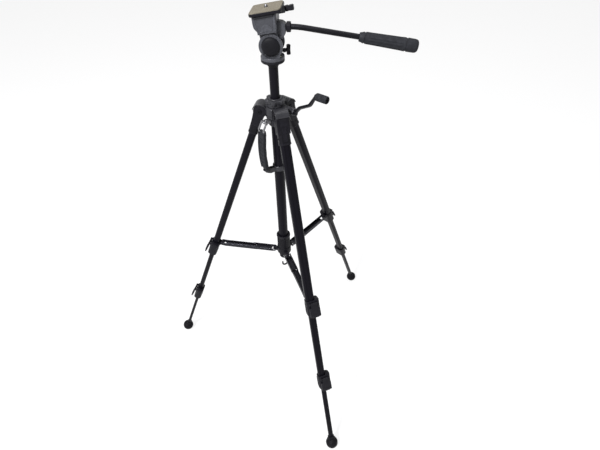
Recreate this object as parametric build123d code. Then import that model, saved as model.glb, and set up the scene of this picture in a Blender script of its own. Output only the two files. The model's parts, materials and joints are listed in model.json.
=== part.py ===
"""Camera tripod with three telescoping legs, a mid-level spreader, a geared centre column and a fluid-style head.

Millimetres, +Z up.  The origin is on the floor, under the centre column's axis.
Azimuths are degrees about +Z, counted from +X.  The front leg points along -Y.
"""
from build123d import *
import os
from math import cos, pi, radians, sin

# ---------------------------------------------------------------- driving dimensions
LEG_AZIMUTHS = {"front": -90.0, "right": 30.0, "left": 150.0}
PIVOT_HEIGHT = 950.0        # leg hinge axes above the floor
PIVOT_RADIUS = 36.0         # leg hinge axes from the column axis
LEG_LEAN = 21.4             # leg from the vertical, legs spread
FOOT_RADIUS = 18.5          # ball feet

MAIN_TUBE = (19.0, 24.2)    # leg sections: radial depth, tangential width
MID_TUBE = (14.2, 20.0)
LOW_TUBE = (9.6, 14.4)
TUBE_WALL = 1.1
TUBE_CORNERS = {MAIN_TUBE: 6.5, MID_TUBE: 4.8, LOW_TUBE: 3.4}
SLIDE_GAP = 0.3             # play of a leg section in the clamp below its parent

# Stations along a leg, measured down from its hinge axis.
SLEEVE_END = 65.0
MAIN_START = 24.0
UPPER_CLAMP = (485.0, 531.0)
MID_START = 300.0
LOWER_CLAMP = (736.0, 781.0)
LOW_START = 560.0

UPPER_OUTER = (27.0, 37.0)  # clamp bodies: radial depth, tangential width
LOWER_OUTER = (24.0, 36.0)
CLAMP_SHIFT = 5.5           # clamp bodies stand out further on one side of the leg
LEVER_HINGE_OUT = 3.4       # lever hinge beyond the clamp's outer face, and below its top
LEVER_HINGE_DOWN = 7.5

BRACE_STATION = 483.8       # brace pin on the leg
BRACE_INSET = 19.6          # brace pin inboard of the leg's centre line
HUB_PIN_RADIUS = 29.5       # brace pins on the sliding hub
CHANNEL_WIDTH = 16.4
CHANNEL_WALL = 1.2
CHANNEL_BELOW = 8.5         # channel section below and above its pin line
CHANNEL_ABOVE = 4.5
CHANNEL_END = 60.0          # channel's inner end, from the hub pin
FORK_WIDTH = 19.6           # fork link that straddles the channel
FORK_REACH = 70.0
PIN_RADIUS = 2.0
PIN_PLAY = 0.06

COLUMN_RADIUS = 10.75
COLUMN_WALL = 1.5
COLUMN_SPAN = (690.0, 1064.0)
CENTER_TUBE_RADIUS = 13.5
CENTER_TUBE_BORE = 11.6
CENTER_TUBE_SPAN = (474.0, 944.0)
HUB_SPAN = (487.0, 556.0)

SHOULDER_TOP = 963.0
HUB_RADIUS = 26.0           # shoulder casting around the column
KNUCKLE_RADIUS = 16.0       # rounded leg tops around the hinge axes
HOOD_WALL = 3.0
CHEEK_INNER = 9.0           # leg-top cheeks: distance of their faces from the leg's mid-plane
CHEEK_OUTER = 15.5
LOCK_RING_SPAN = (963.3, 980.4)
LOCK_RING_RADIUS = 24.7

GEAR_MODULE = 1.5
PINION_TEETH = 8
PINION_RADIUS = GEAR_MODULE * PINION_TEETH / 2
RACK_PITCH_LINE = 9.5       # from the column axis
RACK_SPAN = (702.0, 1048.0)
SLOT_HALF = 2.9             # half the column's slot
PINION_HALF = 2.5           # half the pinion's width
CRANK_AZIMUTH = -60.0       # direction of the crank shaft
CRANK_HEIGHT = 952.0
SHAFT_RADIUS = 3.5
CRANK_LEAN = 60.0           # arm above the horizontal, in the plane across the shaft
CRANK_PATH = [(48.5, 0.0), (53.5, 12.0), (80.0, 25.5), (87.5, 48.0)]   # along the shaft, out from it
CRANK_KNOB = (89.6, 31.0, 8.9)      # start along the shaft, length, radius

CARRY_AZIMUTH = 200.0       # carrying handle
CARRY_SPAN = (806.0, 908.0)
CARRY_RING = (786.0, 800.0)

HEAD_AZIMUTH = -25.0        # the pan handle's direction
NECK_SPAN = (1054.0, 1066.0)
PAN_BASE_TOP = 1071.0
PAN_DISC_TOP = 1079.0
PAN_RADIUS = 24.7
PAN_KNOB_TURN = 30.0        # pan lock's direction from the handle's
PAN_KNOB_DROP = 18.5        # pan lock below the tilt axis
TILT_HEIGHT = 1102.0
TILT_ANGLE = 9.5            # platform's rise towards the handle
TILT_DISC_RADIUS = 21.0
TILT_DRUM_RADIUS = 18.0
TILT_CHEEK = (12.4, 19.0)   # tilt cheeks: faces from the head's mid-plane
STUB_RADIUS = 6.0           # stub shafts of the tilt axis
COVER_RADIUS = 19.4
PLATE_SIZE = (67.3, 63.4)
PLATE_CENTER = 4.7          # plate's centre forward of the tilt axis
PLATE_TOP = 72.4            # cork's face above the tilt axis, platform level
CORK_THICKNESS = 3.2
PLATE_THICKNESS = 5.2
SCREW_RADIUS = 3.175        # 1/4 inch camera screw
SHANK_RADIUS = 2.6          # its plain shank below the cork's face
SCREW_STANDS = 4.5
HANDLE_SOCKET = (41.0, 28.0)        # socket centre from the tilt axis, platform level
HANDLE_RADIUS = 5.7
HANDLE_SLOPE = 8.5          # the arm's bend below its socket's axis
HANDLE_STRAIGHT = 20.0
HANDLE_ARM = 128.0          # arm from the bend to the grip
GRIP_LENGTH = 123.0

RUNNING_FIT = 0.08
BODY_GAP = 0.3


# ---------------------------------------------------------------- helpers
def slab(x0, x1, y0, y1, z0, z1):
    """Box given by its limits."""
    center = Pos((x0 + x1) / 2, (y0 + y1) / 2, (z0 + z1) / 2)
    return center * Box(x1 - x0, y1 - y0, z1 - z0)


def rod_z(radius, z0, z1, x=0.0, y=0.0):
    return Pos(x, y, (z0 + z1) / 2) * Cylinder(radius, z1 - z0)


def rod_y(radius, y0, y1, x=0.0, z=0.0):
    return Pos(x, (y0 + y1) / 2, z) * Rot(90, 0, 0) * Cylinder(radius, y1 - y0)


def rod_x(radius, x0, x1, y=0.0, z=0.0):
    return Pos((x0 + x1) / 2, y, z) * Rot(0, 90, 0) * Cylinder(radius, x1 - x0)


def plate_xz(points, y0, y1):
    """Prism of an outline drawn in the XZ plane, between two Y values."""
    outline = make_face(Polyline(*[(x, z) for x, z in points], close=True))
    return Pos(0, y1, 0) * Rot(90, 0, 0) * extrude(outline, amount=y1 - y0)


def rounded_bar(size, corner, z0, z1):
    """Bar along Z with a rounded rectangular section."""
    return Pos(0, 0, z0) * extrude(RectangleRounded(size[0], size[1], corner), amount=z1 - z0)


def flat_tube(section, top, bottom):
    """Leg section between two stations below the hinge axis."""
    corner = TUBE_CORNERS[section]
    inner = (section[0] - 2 * TUBE_WALL, section[1] - 2 * TUBE_WALL)
    outer = rounded_bar(section, corner, -bottom, -top)
    return outer - rounded_bar(inner, corner - TUBE_WALL, -bottom - 1, -top + 1)


def grown(section, gap):
    return (section[0] + 2 * gap, section[1] + 2 * gap)


def on_leg(azimuth):
    """Leg frame: origin on the hinge axis, +X outward from the leg, +Z up along it."""
    return Rot(0, 0, azimuth) * Pos(PIVOT_RADIUS, 0, PIVOT_HEIGHT) * Rot(0, -LEG_LEAN, 0)


# ---------------------------------------------------------------- legs
def leg_top():
    """Moulded knuckle: two cheeks on the hinge pin and a sleeve over the main tube."""
    sleeve = rounded_bar((24.0, 28.6), 7.5, -SLEEVE_END, -18.0)
    cheek_outline = Rectangle(26.0, 18.0).moved(Pos(0, -9)) + Circle(KNUCKLE_RADIUS)
    for side in (-1, 1):
        y0, y1 = sorted((side * CHEEK_INNER, side * CHEEK_OUTER))
        sleeve += Pos(0, y1, 0) * Rot(90, 0, 0) * extrude(cheek_outline, amount=y1 - y0)
    sleeve -= rounded_bar(MAIN_TUBE, TUBE_CORNERS[MAIN_TUBE], -SLEEVE_END - 1, -MAIN_START)
    return sleeve - rod_y(3.0 + PIN_PLAY, -20, 20)


def clamp_body(outer, held, sliding, top, bottom):
    """Clamp on the end of one section, guiding the next; its lever hinges on the outer face."""
    body = rounded_bar(outer, 8.0, -bottom, -top)
    face = outer[0] / 2
    hinge_x, hinge_z = face + LEVER_HINGE_OUT, -top - LEVER_HINGE_DOWN
    for side in (-1, 1):
        y0, y1 = sorted((side * 9.6, side * 13.2))
        body += slab(face - 5, hinge_x, y0, y1, hinge_z - 3.4, hinge_z + 3.4)
        body += rod_y(3.4, y0, y1, hinge_x, hinge_z)
    body += rod_y(PIN_RADIUS, -11, 11, hinge_x, hinge_z)
    body = Pos(0, CLAMP_SHIFT, 0) * body
    seat = rounded_bar(held, TUBE_CORNERS[held], -bottom + 5, -top + 1)
    bush = rounded_bar(grown(sliding, SLIDE_GAP), TUBE_CORNERS[sliding], -bottom - 1, -top)
    return body - seat - bush


def clamp_lever(outer, top, bottom):
    """Flip lever: a barrel on the hinge pin and a curved paddle that stands off at its free end."""
    face = outer[0] / 2
    hinge_x, hinge_z = face + LEVER_HINGE_OUT, -top - LEVER_HINGE_DOWN
    tip = -bottom - 1.0
    paddle = plate_xz(
        [
            (face + 0.5, hinge_z - 4.5),
            (hinge_x + 3.2, hinge_z + 0.5),
            (face + 9.0, hinge_z - 10),
            (face + 10.6, tip + 6),
            (face + 9.4, tip),
            (face + 5.6, tip),
            (face + 3.4, tip + 14),
        ],
        -9.2,
        9.2,
    )
    wings = plate_xz(
        [
            (face + 2.6, hinge_z - 10.5),
            (face + 9.0, hinge_z - 10.5),
            (face + 10.6, tip + 6),
            (face + 9.4, tip),
            (face + 5.6, tip),
        ],
        -15.0,
        15.0,
    )
    lever = paddle + wings + rod_y(3.2, -9.2, 9.2, hinge_x, hinge_z)
    lever -= rod_y(PIN_RADIUS + PIN_PLAY, -16, 16, hinge_x, hinge_z)
    return Pos(0, CLAMP_SHIFT, 0) * lever


def upper_clamp():
    """Upper clamp, with the tongue and pin that carry the brace on its inner side."""
    top, bottom = UPPER_CLAMP
    body = clamp_body(UPPER_OUTER, MAIN_TUBE, MID_TUBE, top, bottom)
    pin_x, pin_z = -BRACE_INSET, -BRACE_STATION
    tongue = slab(pin_x, -12.8, -4.5, 4.5, -top - 14, pin_z + 5.0)
    tongue -= slab(-13.5, 0, -5, 5, -top, 0)
    tongue += rod_y(5.5, -4.5, 4.5, pin_x, pin_z)
    tongue += rod_y(PIN_RADIUS, -CHANNEL_WIDTH / 2 - 0.8, CHANNEL_WIDTH / 2 + 0.8, pin_x, pin_z)
    return body + tongue


def lower_clamp():
    top, bottom = LOWER_CLAMP
    return clamp_body(LOWER_OUTER, MID_TUBE, LOW_TUBE, top, bottom)


FOOT_STATION = (PIVOT_HEIGHT - FOOT_RADIUS) / cos(radians(LEG_LEAN))
LOW_END = FOOT_STATION - 6.0


def foot():
    """Rubber ball foot with a collar around the end of the lowest section."""
    ball = Pos(0, 0, -FOOT_STATION) * Sphere(FOOT_RADIUS)
    collar = rounded_bar((15.0, 19.6), 5.5, -FOOT_STATION + 8, -FOOT_STATION + 27)
    return ball + collar - rounded_bar(LOW_TUBE, TUBE_CORNERS[LOW_TUBE], -LOW_END, -LOW_END + 60)


# ---------------------------------------------------------------- spreader
LEAN = radians(LEG_LEAN)
BRACE_PIN_RADIUS = PIVOT_RADIUS + BRACE_STATION * sin(LEAN) - BRACE_INSET * cos(LEAN)
BRACE_HEIGHT = PIVOT_HEIGHT - BRACE_STATION * cos(LEAN) - BRACE_INSET * sin(LEAN)
BRACE_LENGTH = BRACE_PIN_RADIUS - HUB_PIN_RADIUS


def brace_channel():
    """Open-topped channel hinged on the leg; +X runs outward, its pin line is at Z = 0."""
    inner, outer = HUB_PIN_RADIUS + CHANNEL_END, BRACE_PIN_RADIUS
    half, wall = CHANNEL_WIDTH / 2, CHANNEL_WALL
    web = slab(inner, outer - 8.5, -half, half, -CHANNEL_BELOW, -CHANNEL_BELOW + wall)
    channel = web
    for side in (-1, 1):
        y0, y1 = sorted((side * half, side * (half - wall)))
        outline = [
            (inner, -CHANNEL_BELOW),
            (outer - 8.5, -CHANNEL_BELOW),
            (outer, -5.2),
            (outer, 5.2),
            (outer - 8.5, CHANNEL_ABOVE),
            (inner, CHANNEL_ABOVE),
        ]
        channel += plate_xz(outline, y0, y1) + rod_y(5.2, y0, y1, outer)
    return channel - rod_y(PIN_RADIUS + PIN_PLAY, -half - 1, half + 1, outer)


def brace_fork():
    """Fork link hinged on the hub; its two blades straddle the channel."""
    inner, half, wall = HUB_PIN_RADIUS, FORK_WIDTH / 2, 1.3
    fork = slab(inner + 8.5, inner + 13.0, -half, half, -4.6, 4.6)
    for side in (-1, 1):
        y0, y1 = sorted((side * half, side * (half - wall)))
        fork += slab(inner, inner + FORK_REACH - 4.8, y0, y1, -4.8, 4.8)
        fork += rod_y(4.8, y0, y1, inner)
        fork += rod_y(4.8, y0, y1, inner + FORK_REACH - 4.8)
    return fork - rod_y(PIN_RADIUS + PIN_PLAY, -half - 1, half + 1, inner)


def brace_hub():
    """Hub that slides on the outer centre tube, with a tongue and pin for each brace."""
    z0, z1 = HUB_SPAN
    hub = rod_z(20.6, z0, z0 + 22) + rod_z(18.4, z0 + 22, z1 - 6) + rod_z(20.0, z1 - 6, z1)
    for azimuth in LEG_AZIMUTHS.values():
        tongue = slab(15, HUB_PIN_RADIUS, -4.5, 4.5, BRACE_HEIGHT - 4.6, BRACE_HEIGHT + 4.6)
        tongue += rod_y(4.6, -4.5, 4.5, HUB_PIN_RADIUS, BRACE_HEIGHT)
        tongue += rod_y(PIN_RADIUS, -FORK_WIDTH / 2 - 0.8, FORK_WIDTH / 2 + 0.8, HUB_PIN_RADIUS, BRACE_HEIGHT)
        hub += Rot(0, 0, azimuth) * tongue
    return hub - rod_z(CENTER_TUBE_RADIUS + RUNNING_FIT, z0 - 1, z1 + 1)


# ---------------------------------------------------------------- shoulder
SHAFT_OFFSET = RACK_PITCH_LINE + PINION_RADIUS


def on_shaft():
    """Crank frame: +X out along the shaft, +Y from the column towards the shaft, +Z up."""
    return Rot(0, 0, CRANK_AZIMUTH) * Pos(0, SHAFT_OFFSET, CRANK_HEIGHT)


def shoulder_neck():
    """Conical lower part of the shoulder, around the centre tube."""
    return Pos(0, 0, 925.5) * Cone(19.0, 22.0, 21.0)


def shoulder_casting():
    """Casting that holds the centre tube, the three leg hinges and the crank's pinion."""
    body = rod_z(HUB_RADIUS, 936, SHOULDER_TOP)
    body += shoulder_neck()
    boss = rod_x(8.0, 12, 46)
    body += on_shaft() * boss
    for azimuth in LEG_AZIMUTHS.values():
        turn = Rot(0, 0, azimuth)
        for side in (-1, 1):
            y0, y1 = sorted((side * 8.6, side * 16.3))
            body -= turn * slab(19.4, 70, y0, y1, 900, 1000)
    for azimuth in LEG_AZIMUTHS.values():
        turn = Rot(0, 0, azimuth)
        tongue = slab(16, PIVOT_RADIUS, -8.6, 8.6, 939, 961.5)
        tongue += rod_y(12.0, -8.6, 8.6, PIVOT_RADIUS, PIVOT_HEIGHT)
        body += turn * tongue
        hood = rod_y(KNUCKLE_RADIUS + 0.6 + HOOD_WALL, -16.3, 16.3, PIVOT_RADIUS, PIVOT_HEIGHT)
        hood -= rod_y(KNUCKLE_RADIUS + 0.6, -17, 17, PIVOT_RADIUS, PIVOT_HEIGHT)
        hood -= slab(-60, 60, -20, 20, 900, PIVOT_HEIGHT - 2)
        hood -= slab(-60, 18, -20, 20, 900, 1000)
        body += turn * hood
        body -= turn * rod_y(3.0, -9, 9, PIVOT_RADIUS, PIVOT_HEIGHT)
    body -= rod_z(LOCK_RING_RADIUS + 0.6, SHOULDER_TOP, 1000)
    body -= rod_z(COLUMN_RADIUS + RUNNING_FIT, 900, 1000)
    body -= rod_z(CENTER_TUBE_RADIUS, 900, CENTER_TUBE_SPAN[1])
    body -= on_shaft() * rod_x(SHAFT_RADIUS + PIN_PLAY, -15, 60)
    body -= on_shaft() * rod_x(PINION_RADIUS + GEAR_MODULE + 0.6, -5, 5)
    return body


def hinge_pins():
    pins = []
    for azimuth in LEG_AZIMUTHS.values():
        pin = rod_y(3.0, -17.4, 17.4)
        for side in (-1, 1):
            y0, y1 = sorted((side * (CHEEK_OUTER + BODY_GAP), side * 17.6))
            pin += rod_y(5.2, y0, y1)
        pins.append(Rot(0, 0, azimuth) * Pos(PIVOT_RADIUS, 0, PIVOT_HEIGHT) * pin)
    return Compound(children=[pin.solid() for pin in pins])


def center_tube():
    z0, z1 = CENTER_TUBE_SPAN
    return rod_z(CENTER_TUBE_RADIUS, z0, z1) - rod_z(CENTER_TUBE_BORE, z0 - 1, z1 + 1)


def tube_end_cap():
    """Plug in the foot of the centre tube, bored for the weight hook's stem."""
    z0 = CENTER_TUBE_SPAN[0]
    cap = rod_z(14.6, z0 - 6, z0) + Pos(0, 0, z0 - 8.5) * Cone(9.0, 14.6, 5.0)
    cap += rod_z(CENTER_TUBE_BORE, z0, z0 + 14)
    cap -= rod_z(5.0, z0 + 2, z0 + 15)
    return cap - rod_z(2.2 + PIN_PLAY, z0 - 20, z0 + 20)


def weight_hook():
    """Wire hook on a stem that turns in the end cap."""
    z0 = CENTER_TUBE_SPAN[0]
    bend, wire = 7.2, 1.7
    stem = rod_z(2.2, z0 - 18, z0 + 4) + rod_z(4.2, z0 + 2.2, z0 + 5)
    eye = Pos(0, 0, z0 - 27) * Rot(90, 0, 0) * Torus(8.0, wire)
    eye -= slab(-20, -0.1, -5, 5, z0 - 60, z0 - 27)
    lower = Pos(0, 0, z0 - 27 - 8.0 - bend) * Rot(90, 0, 0) * Torus(bend, wire)
    lower -= slab(-20, 0, -5, 5, z0 - 27 - 8.0 - bend, z0)
    hook = stem + eye + lower
    return hook + Pos(-bend, 0, z0 - 27 - 8.0 - bend) * Sphere(wire)


def lock_ring():
    """Lobed ring that grips the column above the shoulder."""
    z0, z1 = LOCK_RING_SPAN
    ring = rod_z(21.0, z0, z1) + rod_z(17.0, z1, z1 + 1.5)
    for k in range(6):
        angle = radians(60 * k)
        ring += rod_z(5.4, z0 + 1.0, z1 - 1.0, 19.2 * cos(angle), 19.2 * sin(angle))
    return ring - rod_z(COLUMN_RADIUS + BODY_GAP, z0 - 1, z1 + 3)


# ---------------------------------------------------------------- carrying handle
def carry_frame():
    return Rot(0, 0, CARRY_AZIMUTH)


def arch(z):
    """Distance of the carrying grip's centre line from the column axis."""
    bottom, top = CARRY_SPAN
    middle, half = (top + bottom) / 2, (top - bottom) / 2
    return 47.5 - 4.5 * ((z - middle) / half) ** 2


def carry_grip():
    """Arched grip, thicker in its middle."""
    bottom, top = CARRY_SPAN
    stations = [bottom + (top - bottom) * k / 8 for k in range(9)]
    inner = Spline(*[(arch(z) - 5.2, z) for z in stations])
    outer = Spline(*[(arch(z) + 5.2, z) for z in stations])
    ends = [Line(inner @ 0, outer @ 0), Line(inner @ 1, outer @ 1)]
    outline = make_face([inner, outer, *ends])
    grip = Pos(0, 12.0, 0) * Rot(90, 0, 0) * extrude(outline, amount=24.0)
    grip += slab(arch(top) - 4.6, arch(top) + 4.6, -10, 10, top - 2, top + 3)
    grip += slab(arch(bottom) - 4.6, arch(bottom) + 4.6, -10, 10, bottom - 3, bottom + 2)
    return carry_frame() * grip


def carry_bracket():
    """Metal fork on the shoulder, and the arm and ring that hold the grip's lower end."""
    top = CARRY_SPAN[1] + 3
    fork = plate_xz([(20, 926), (20, 934), (36, 934), (47, top), (38.5, top), (33, 926)], -11, 11)
    fork -= slab(30, 60, -6, 6, 900, 927)
    for side in (-1, 1):
        y0, y1 = sorted((side * 7, side * 12))
        fork -= slab(10, 33.5, y0, y1, 900, 940)
    ring = rod_z(CENTER_TUBE_RADIUS + 3.2, *CARRY_RING)
    arm = plate_xz([(14, 787), (14, 799), (37, 803), (47, 803), (47, 797), (38, 791), (30, 787)], -6.5, 6.5)
    lower = ring + arm - rod_z(CENTER_TUBE_RADIUS, 780, 810)
    both = [carry_frame() * (fork - shoulder_neck()), carry_frame() * lower]
    return Compound(children=[piece.solid() for piece in both])


# ---------------------------------------------------------------- column and crank
def tooth(root_half, pitch_half, tip_half, root, pitch, tip):
    """Outline of a gear or rack tooth that points along +X, as (along, across) points."""
    return [
        (root, -root_half),
        (pitch, -pitch_half),
        (tip, -tip_half),
        (tip, tip_half),
        (pitch, pitch_half),
        (root, root_half),
    ]


def center_column():
    """Column tube, slotted on the side that faces the crank for its rack."""
    z0, z1 = COLUMN_SPAN
    tube = rod_z(COLUMN_RADIUS, z0, z1) - rod_z(COLUMN_RADIUS - COLUMN_WALL, z0 - 1, z1 + 1)
    slot = slab(-SLOT_HALF, SLOT_HALF, 5.0, 15.0, RACK_SPAN[0], RACK_SPAN[1])
    return tube - Rot(0, 0, CRANK_AZIMUTH) * slot


def column_rack():
    """Toothed strip in the column's slot; a gap between teeth lies at the shaft's height."""
    pitch = pi * GEAR_MODULE
    low, high = RACK_SPAN
    root, line, tip = RACK_PITCH_LINE - 1.6, RACK_PITCH_LINE, RACK_PITCH_LINE + 1.0
    first = int((low + 4 - CRANK_HEIGHT) / pitch)
    last = int((high - 4 - CRANK_HEIGHT) / pitch)
    points = [(5.8, low), (root, low)]
    for k in range(first, last):
        middle = CRANK_HEIGHT + (k + 0.5) * pitch
        for along, across in tooth(1.25, 0.9, 0.5, root, line, tip):
            points.append((along, middle + across))
    points += [(root, high), (5.8, high)]
    strip = plate_xz(points, -2.4, 2.4) + slab(5.8, 7.85, -4.75, 4.75, low, high)
    return Rot(0, 0, CRANK_AZIMUTH + 90) * strip


def crank_shaft():
    """Shaft with its pinion; a pinion tooth points at the column."""
    pinion = rod_x(PINION_RADIUS - 1.6, -PINION_HALF, PINION_HALF)
    profile = tooth(1.35, 0.85, 0.45, PINION_RADIUS - 2.6, PINION_RADIUS, PINION_RADIUS + 1.0)
    face = make_face(Polyline(*profile, close=True))
    blade = extrude(face, amount=2 * PINION_HALF)
    for k in range(PINION_TEETH):
        spin = Rot(360 * k / PINION_TEETH, 0, 0)
        pinion += spin * Pos(PINION_HALF, 0, 0) * Rot(0, 0, -90) * Rot(90, 0, 0) * blade
    shaft = rod_x(SHAFT_RADIUS, -14, CRANK_PATH[0][0] - 2.0) + rod_x(2.6, 40, CRANK_PATH[0][0] + 3.0)
    return on_shaft() * (shaft + pinion)


def crank_arm():
    """Joggled flat arm from the shaft's end to the knob's pin."""
    half, thick = 4.6, 1.6
    (x0, r0), (x1, r1), (x2, r2), (x3, r3) = CRANK_PATH
    line = Polyline((x0, r0), (x1, r1), (x2, r2), (x3, r3))
    band = offset(line, amount=thick, side=Side.BOTH, kind=Kind.INTERSECTION)
    arm = Pos(0, half, 0) * Rot(90, 0, 0) * extrude(make_face(band), amount=2 * half)
    arm += rod_x(6.6, x0 - thick, x0 + thick)
    arm += rod_x(5.4, x3 - 1.4, x3 + 1.4, 0, r3)
    arm += rod_x(2.6, x3, CRANK_KNOB[0] + CRANK_KNOB[1] + 0.6, 0, r3)
    arm -= rod_x(2.6, 0, x0 + 3.0)
    return on_shaft() * Rot(CRANK_LEAN, 0, 0) * Rot(-90, 0, 0) * arm


def crank_knob():
    """Barrel knob that spins on the arm's pin."""
    start, length, radius = CRANK_KNOB
    knob = rod_x(radius, start, start + length, 0, CRANK_PATH[3][1])
    knob = chamfer(knob.edges(), 1.2)
    knob -= rod_x(2.6 + PIN_PLAY, start - 1, start + length + 1, 0, CRANK_PATH[3][1])
    return on_shaft() * Rot(CRANK_LEAN, 0, 0) * Rot(-90, 0, 0) * knob


# ---------------------------------------------------------------- head
def on_head():
    """Head frame: +X towards the pan handle, origin on the pan axis at tilt-axis height."""
    return Rot(0, 0, HEAD_AZIMUTH) * Pos(0, 0, TILT_HEIGHT)


def on_platform():
    """Tilted frame of the platform, about the tilt axis."""
    return on_head() * Rot(0, -TILT_ANGLE, 0)


def pan_base():
    """Base that the column carries, with a tapered neck over the column's end."""
    z0, z1 = NECK_SPAN
    base = Pos(0, 0, (z0 + z1) / 2) * Cone(11.4, 14.2, z1 - z0)
    base += Pos(0, 0, z1 + 1.5) * Cone(PAN_RADIUS - 3, PAN_RADIUS, 3.0)
    base += rod_z(PAN_RADIUS, z1 + 3, PAN_BASE_TOP)
    return base - rod_z(COLUMN_RADIUS, z0 - 1, COLUMN_SPAN[1])


def spirit_level():
    """Vial set in the rim of the rotating disc."""
    return Rot(0, 0, HEAD_AZIMUTH) * rod_z(4.2, PAN_DISC_TOP - 3, PAN_DISC_TOP + 0.8, 17.5, -11.0)


def pan_housing():
    """Rotating disc, central pillar and tilt drum with its two stub shafts."""
    rise = TILT_HEIGHT - PAN_DISC_TOP
    disc = rod_z(PAN_RADIUS, PAN_BASE_TOP + BODY_GAP - TILT_HEIGHT, -rise)
    pillar = slab(-17, 17, -12, 12, -rise - 1, 0)
    housing = disc + pillar + rod_y(TILT_DRUM_RADIUS, -12, 12)
    housing += rod_y(STUB_RADIUS, -TILT_CHEEK[1] - 1, TILT_CHEEK[1] + 1)
    at_knob = Rot(0, 0, PAN_KNOB_TURN) * Pos(0, 0, -PAN_KNOB_DROP)
    housing -= at_knob * rod_x(2.6 + PIN_PLAY, 12, 30)
    housing = on_head() * housing
    return housing - Rot(0, 0, HEAD_AZIMUTH) * rod_z(4.2, PAN_DISC_TOP - 3, PAN_DISC_TOP + 5, 17.5, -11.0)


def pan_knob():
    """T-shaped lock screw of the pan disc."""
    stem = rod_x(2.6, 19.0, 36.0)
    collar = rod_x(4.6, 25.2, 31.0)
    wing = slab(34.8, 41.6, -4.0, 4.0, -11.0, 11.0)
    wing = fillet(wing.edges().filter_by(Axis.X), 3.0)
    return on_head() * Rot(0, 0, PAN_KNOB_TURN) * Pos(0, 0, -PAN_KNOB_DROP) * (stem + collar + wing)


def tilt_platform():
    """Platform with its two tilt cheeks and the bracket of the handle socket."""
    y_in, y_out = TILT_CHEEK
    top = PLATE_TOP - CORK_THICKNESS - PLATE_THICKNESS
    block = plate_xz([(-19.5, 27), (19.5, 27), (26.5, top), (-24, top)], -24, 24)
    for side in (-1, 1):
        y0, y1 = sorted((side * y_in, side * y_out))
        block += rod_y(TILT_DISC_RADIUS, y0, y1)
        block += slab(-18, 18, y0, y1, 0, 28)
    bracket = [(14, 28), (22, 44), (32, 41), (37.5, 36), (35.0, 18.5), (27, 9), (21.5, 9)]
    block += plate_xz(bracket, -9, 9)
    block += slab(24, 38, 15, 24, top - 13, top)
    block -= rod_y(STUB_RADIUS + PIN_PLAY, -30, 30)
    block -= slab(-20, 22, -26, 20, top - 5, top + 1)
    block -= on_socket_local() * rod_x(4.0, -16, 30)
    return on_platform() * block


def on_socket_local():
    """Handle socket, in the platform's frame: +X out along the socket's axis."""
    return Pos(HANDLE_SOCKET[0], 0, HANDLE_SOCKET[1]) * Rot(0, TILT_ANGLE, 0)


def tilt_covers():
    """Round covers over the two ends of the tilt axis."""
    covers = []
    for side in (-1, 1):
        y0, y1 = sorted((side * TILT_CHEEK[1], side * 26.0))
        cover = rod_y(COVER_RADIUS, y0, y1)
        rim = cover.edges().filter_by(GeomType.CIRCLE).sort_by(Axis.Y)[-1 if side > 0 else 0]
        cover = fillet(rim, 4.5)
        cover -= rod_y(STUB_RADIUS + BODY_GAP, -TILT_CHEEK[1] - 1.5, TILT_CHEEK[1] + 1.5)
        covers.append(on_platform() * cover)
    return Compound(children=[cover.solid() for cover in covers])


def handle_nut():
    """Eight-sided lock nut around the arm, against the bracket."""
    nut = Rot(0, 90, 0) * extrude(RegularPolygon(10.6, 8), amount=7.0)
    return on_platform() * on_socket_local() * (Pos(-1.2, 0, 0) * nut - rod_x(HANDLE_RADIUS + RUNNING_FIT, -9, 20))


def handle_arm():
    """Steel arm with one slight bend; a reduced end screws into the bracket."""
    bend = HANDLE_STRAIGHT
    straight = rod_x(HANDLE_RADIUS, -2.2, bend) + rod_x(3.9, -14, 0)
    sloped = Rot(0, HANDLE_SLOPE, 0) * rod_x(HANDLE_RADIUS, 0, HANDLE_ARM + GRIP_LENGTH - 12)
    elbow = Sphere(HANDLE_RADIUS)
    arm = straight + Pos(bend, 0, 0) * (sloped + elbow)
    return on_platform() * on_socket_local() * arm


def handle_grip():
    """Tapered moulded grip with a ferrule and a rounded end."""
    start, end = HANDLE_ARM, HANDLE_ARM + GRIP_LENGTH
    profile = make_face(
        Polyline(
            (start, HANDLE_RADIUS),
            (start, 9.0),
            (start + 7, 11.0),
            (start + 12, 11.6),
            (end - 22, 13.8),
            (end - 5, 13.4),
            (end, 9.5),
            (end, 0),
            (end - 12, 0),
            (end - 12, HANDLE_RADIUS),
            close=True,
        )
    )
    grip = revolve(profile, Axis.X)
    return on_platform() * on_socket_local() * Pos(HANDLE_STRAIGHT, 0, 0) * Rot(0, HANDLE_SLOPE, 0) * grip


def qr_plate():
    """Quick-release plate: a rim under the cork and a narrower keel in the platform."""
    top = PLATE_TOP - CORK_THICKNESS
    low = top - PLATE_THICKNESS
    rim = Pos(PLATE_CENTER, 0, low) * extrude(RectangleRounded(*PLATE_SIZE, 8), amount=PLATE_THICKNESS)
    rim = chamfer(rim.edges().group_by(Axis.Z)[0], 1.5)
    rim += slab(-19.5, 21.5, -25.5 + 2, 19.5, low - 4.4, low)
    rim -= rod_z(6.2, low - 10, low + 1.5, PLATE_CENTER)
    rim -= rod_z(SCREW_RADIUS + 0.2, low - 10, top + 1, PLATE_CENTER)
    return on_platform() * rim


def cork_pad():
    top = PLATE_TOP
    pad = extrude(RectangleRounded(PLATE_SIZE[0] - 2.4, PLATE_SIZE[1] - 2.4, 7), amount=CORK_THICKNESS)
    pad = Pos(PLATE_CENTER, 0, top - CORK_THICKNESS) * pad
    return on_platform() * (pad - rod_z(SCREW_RADIUS + 0.6, top - 10, top + 1, PLATE_CENTER))


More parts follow.
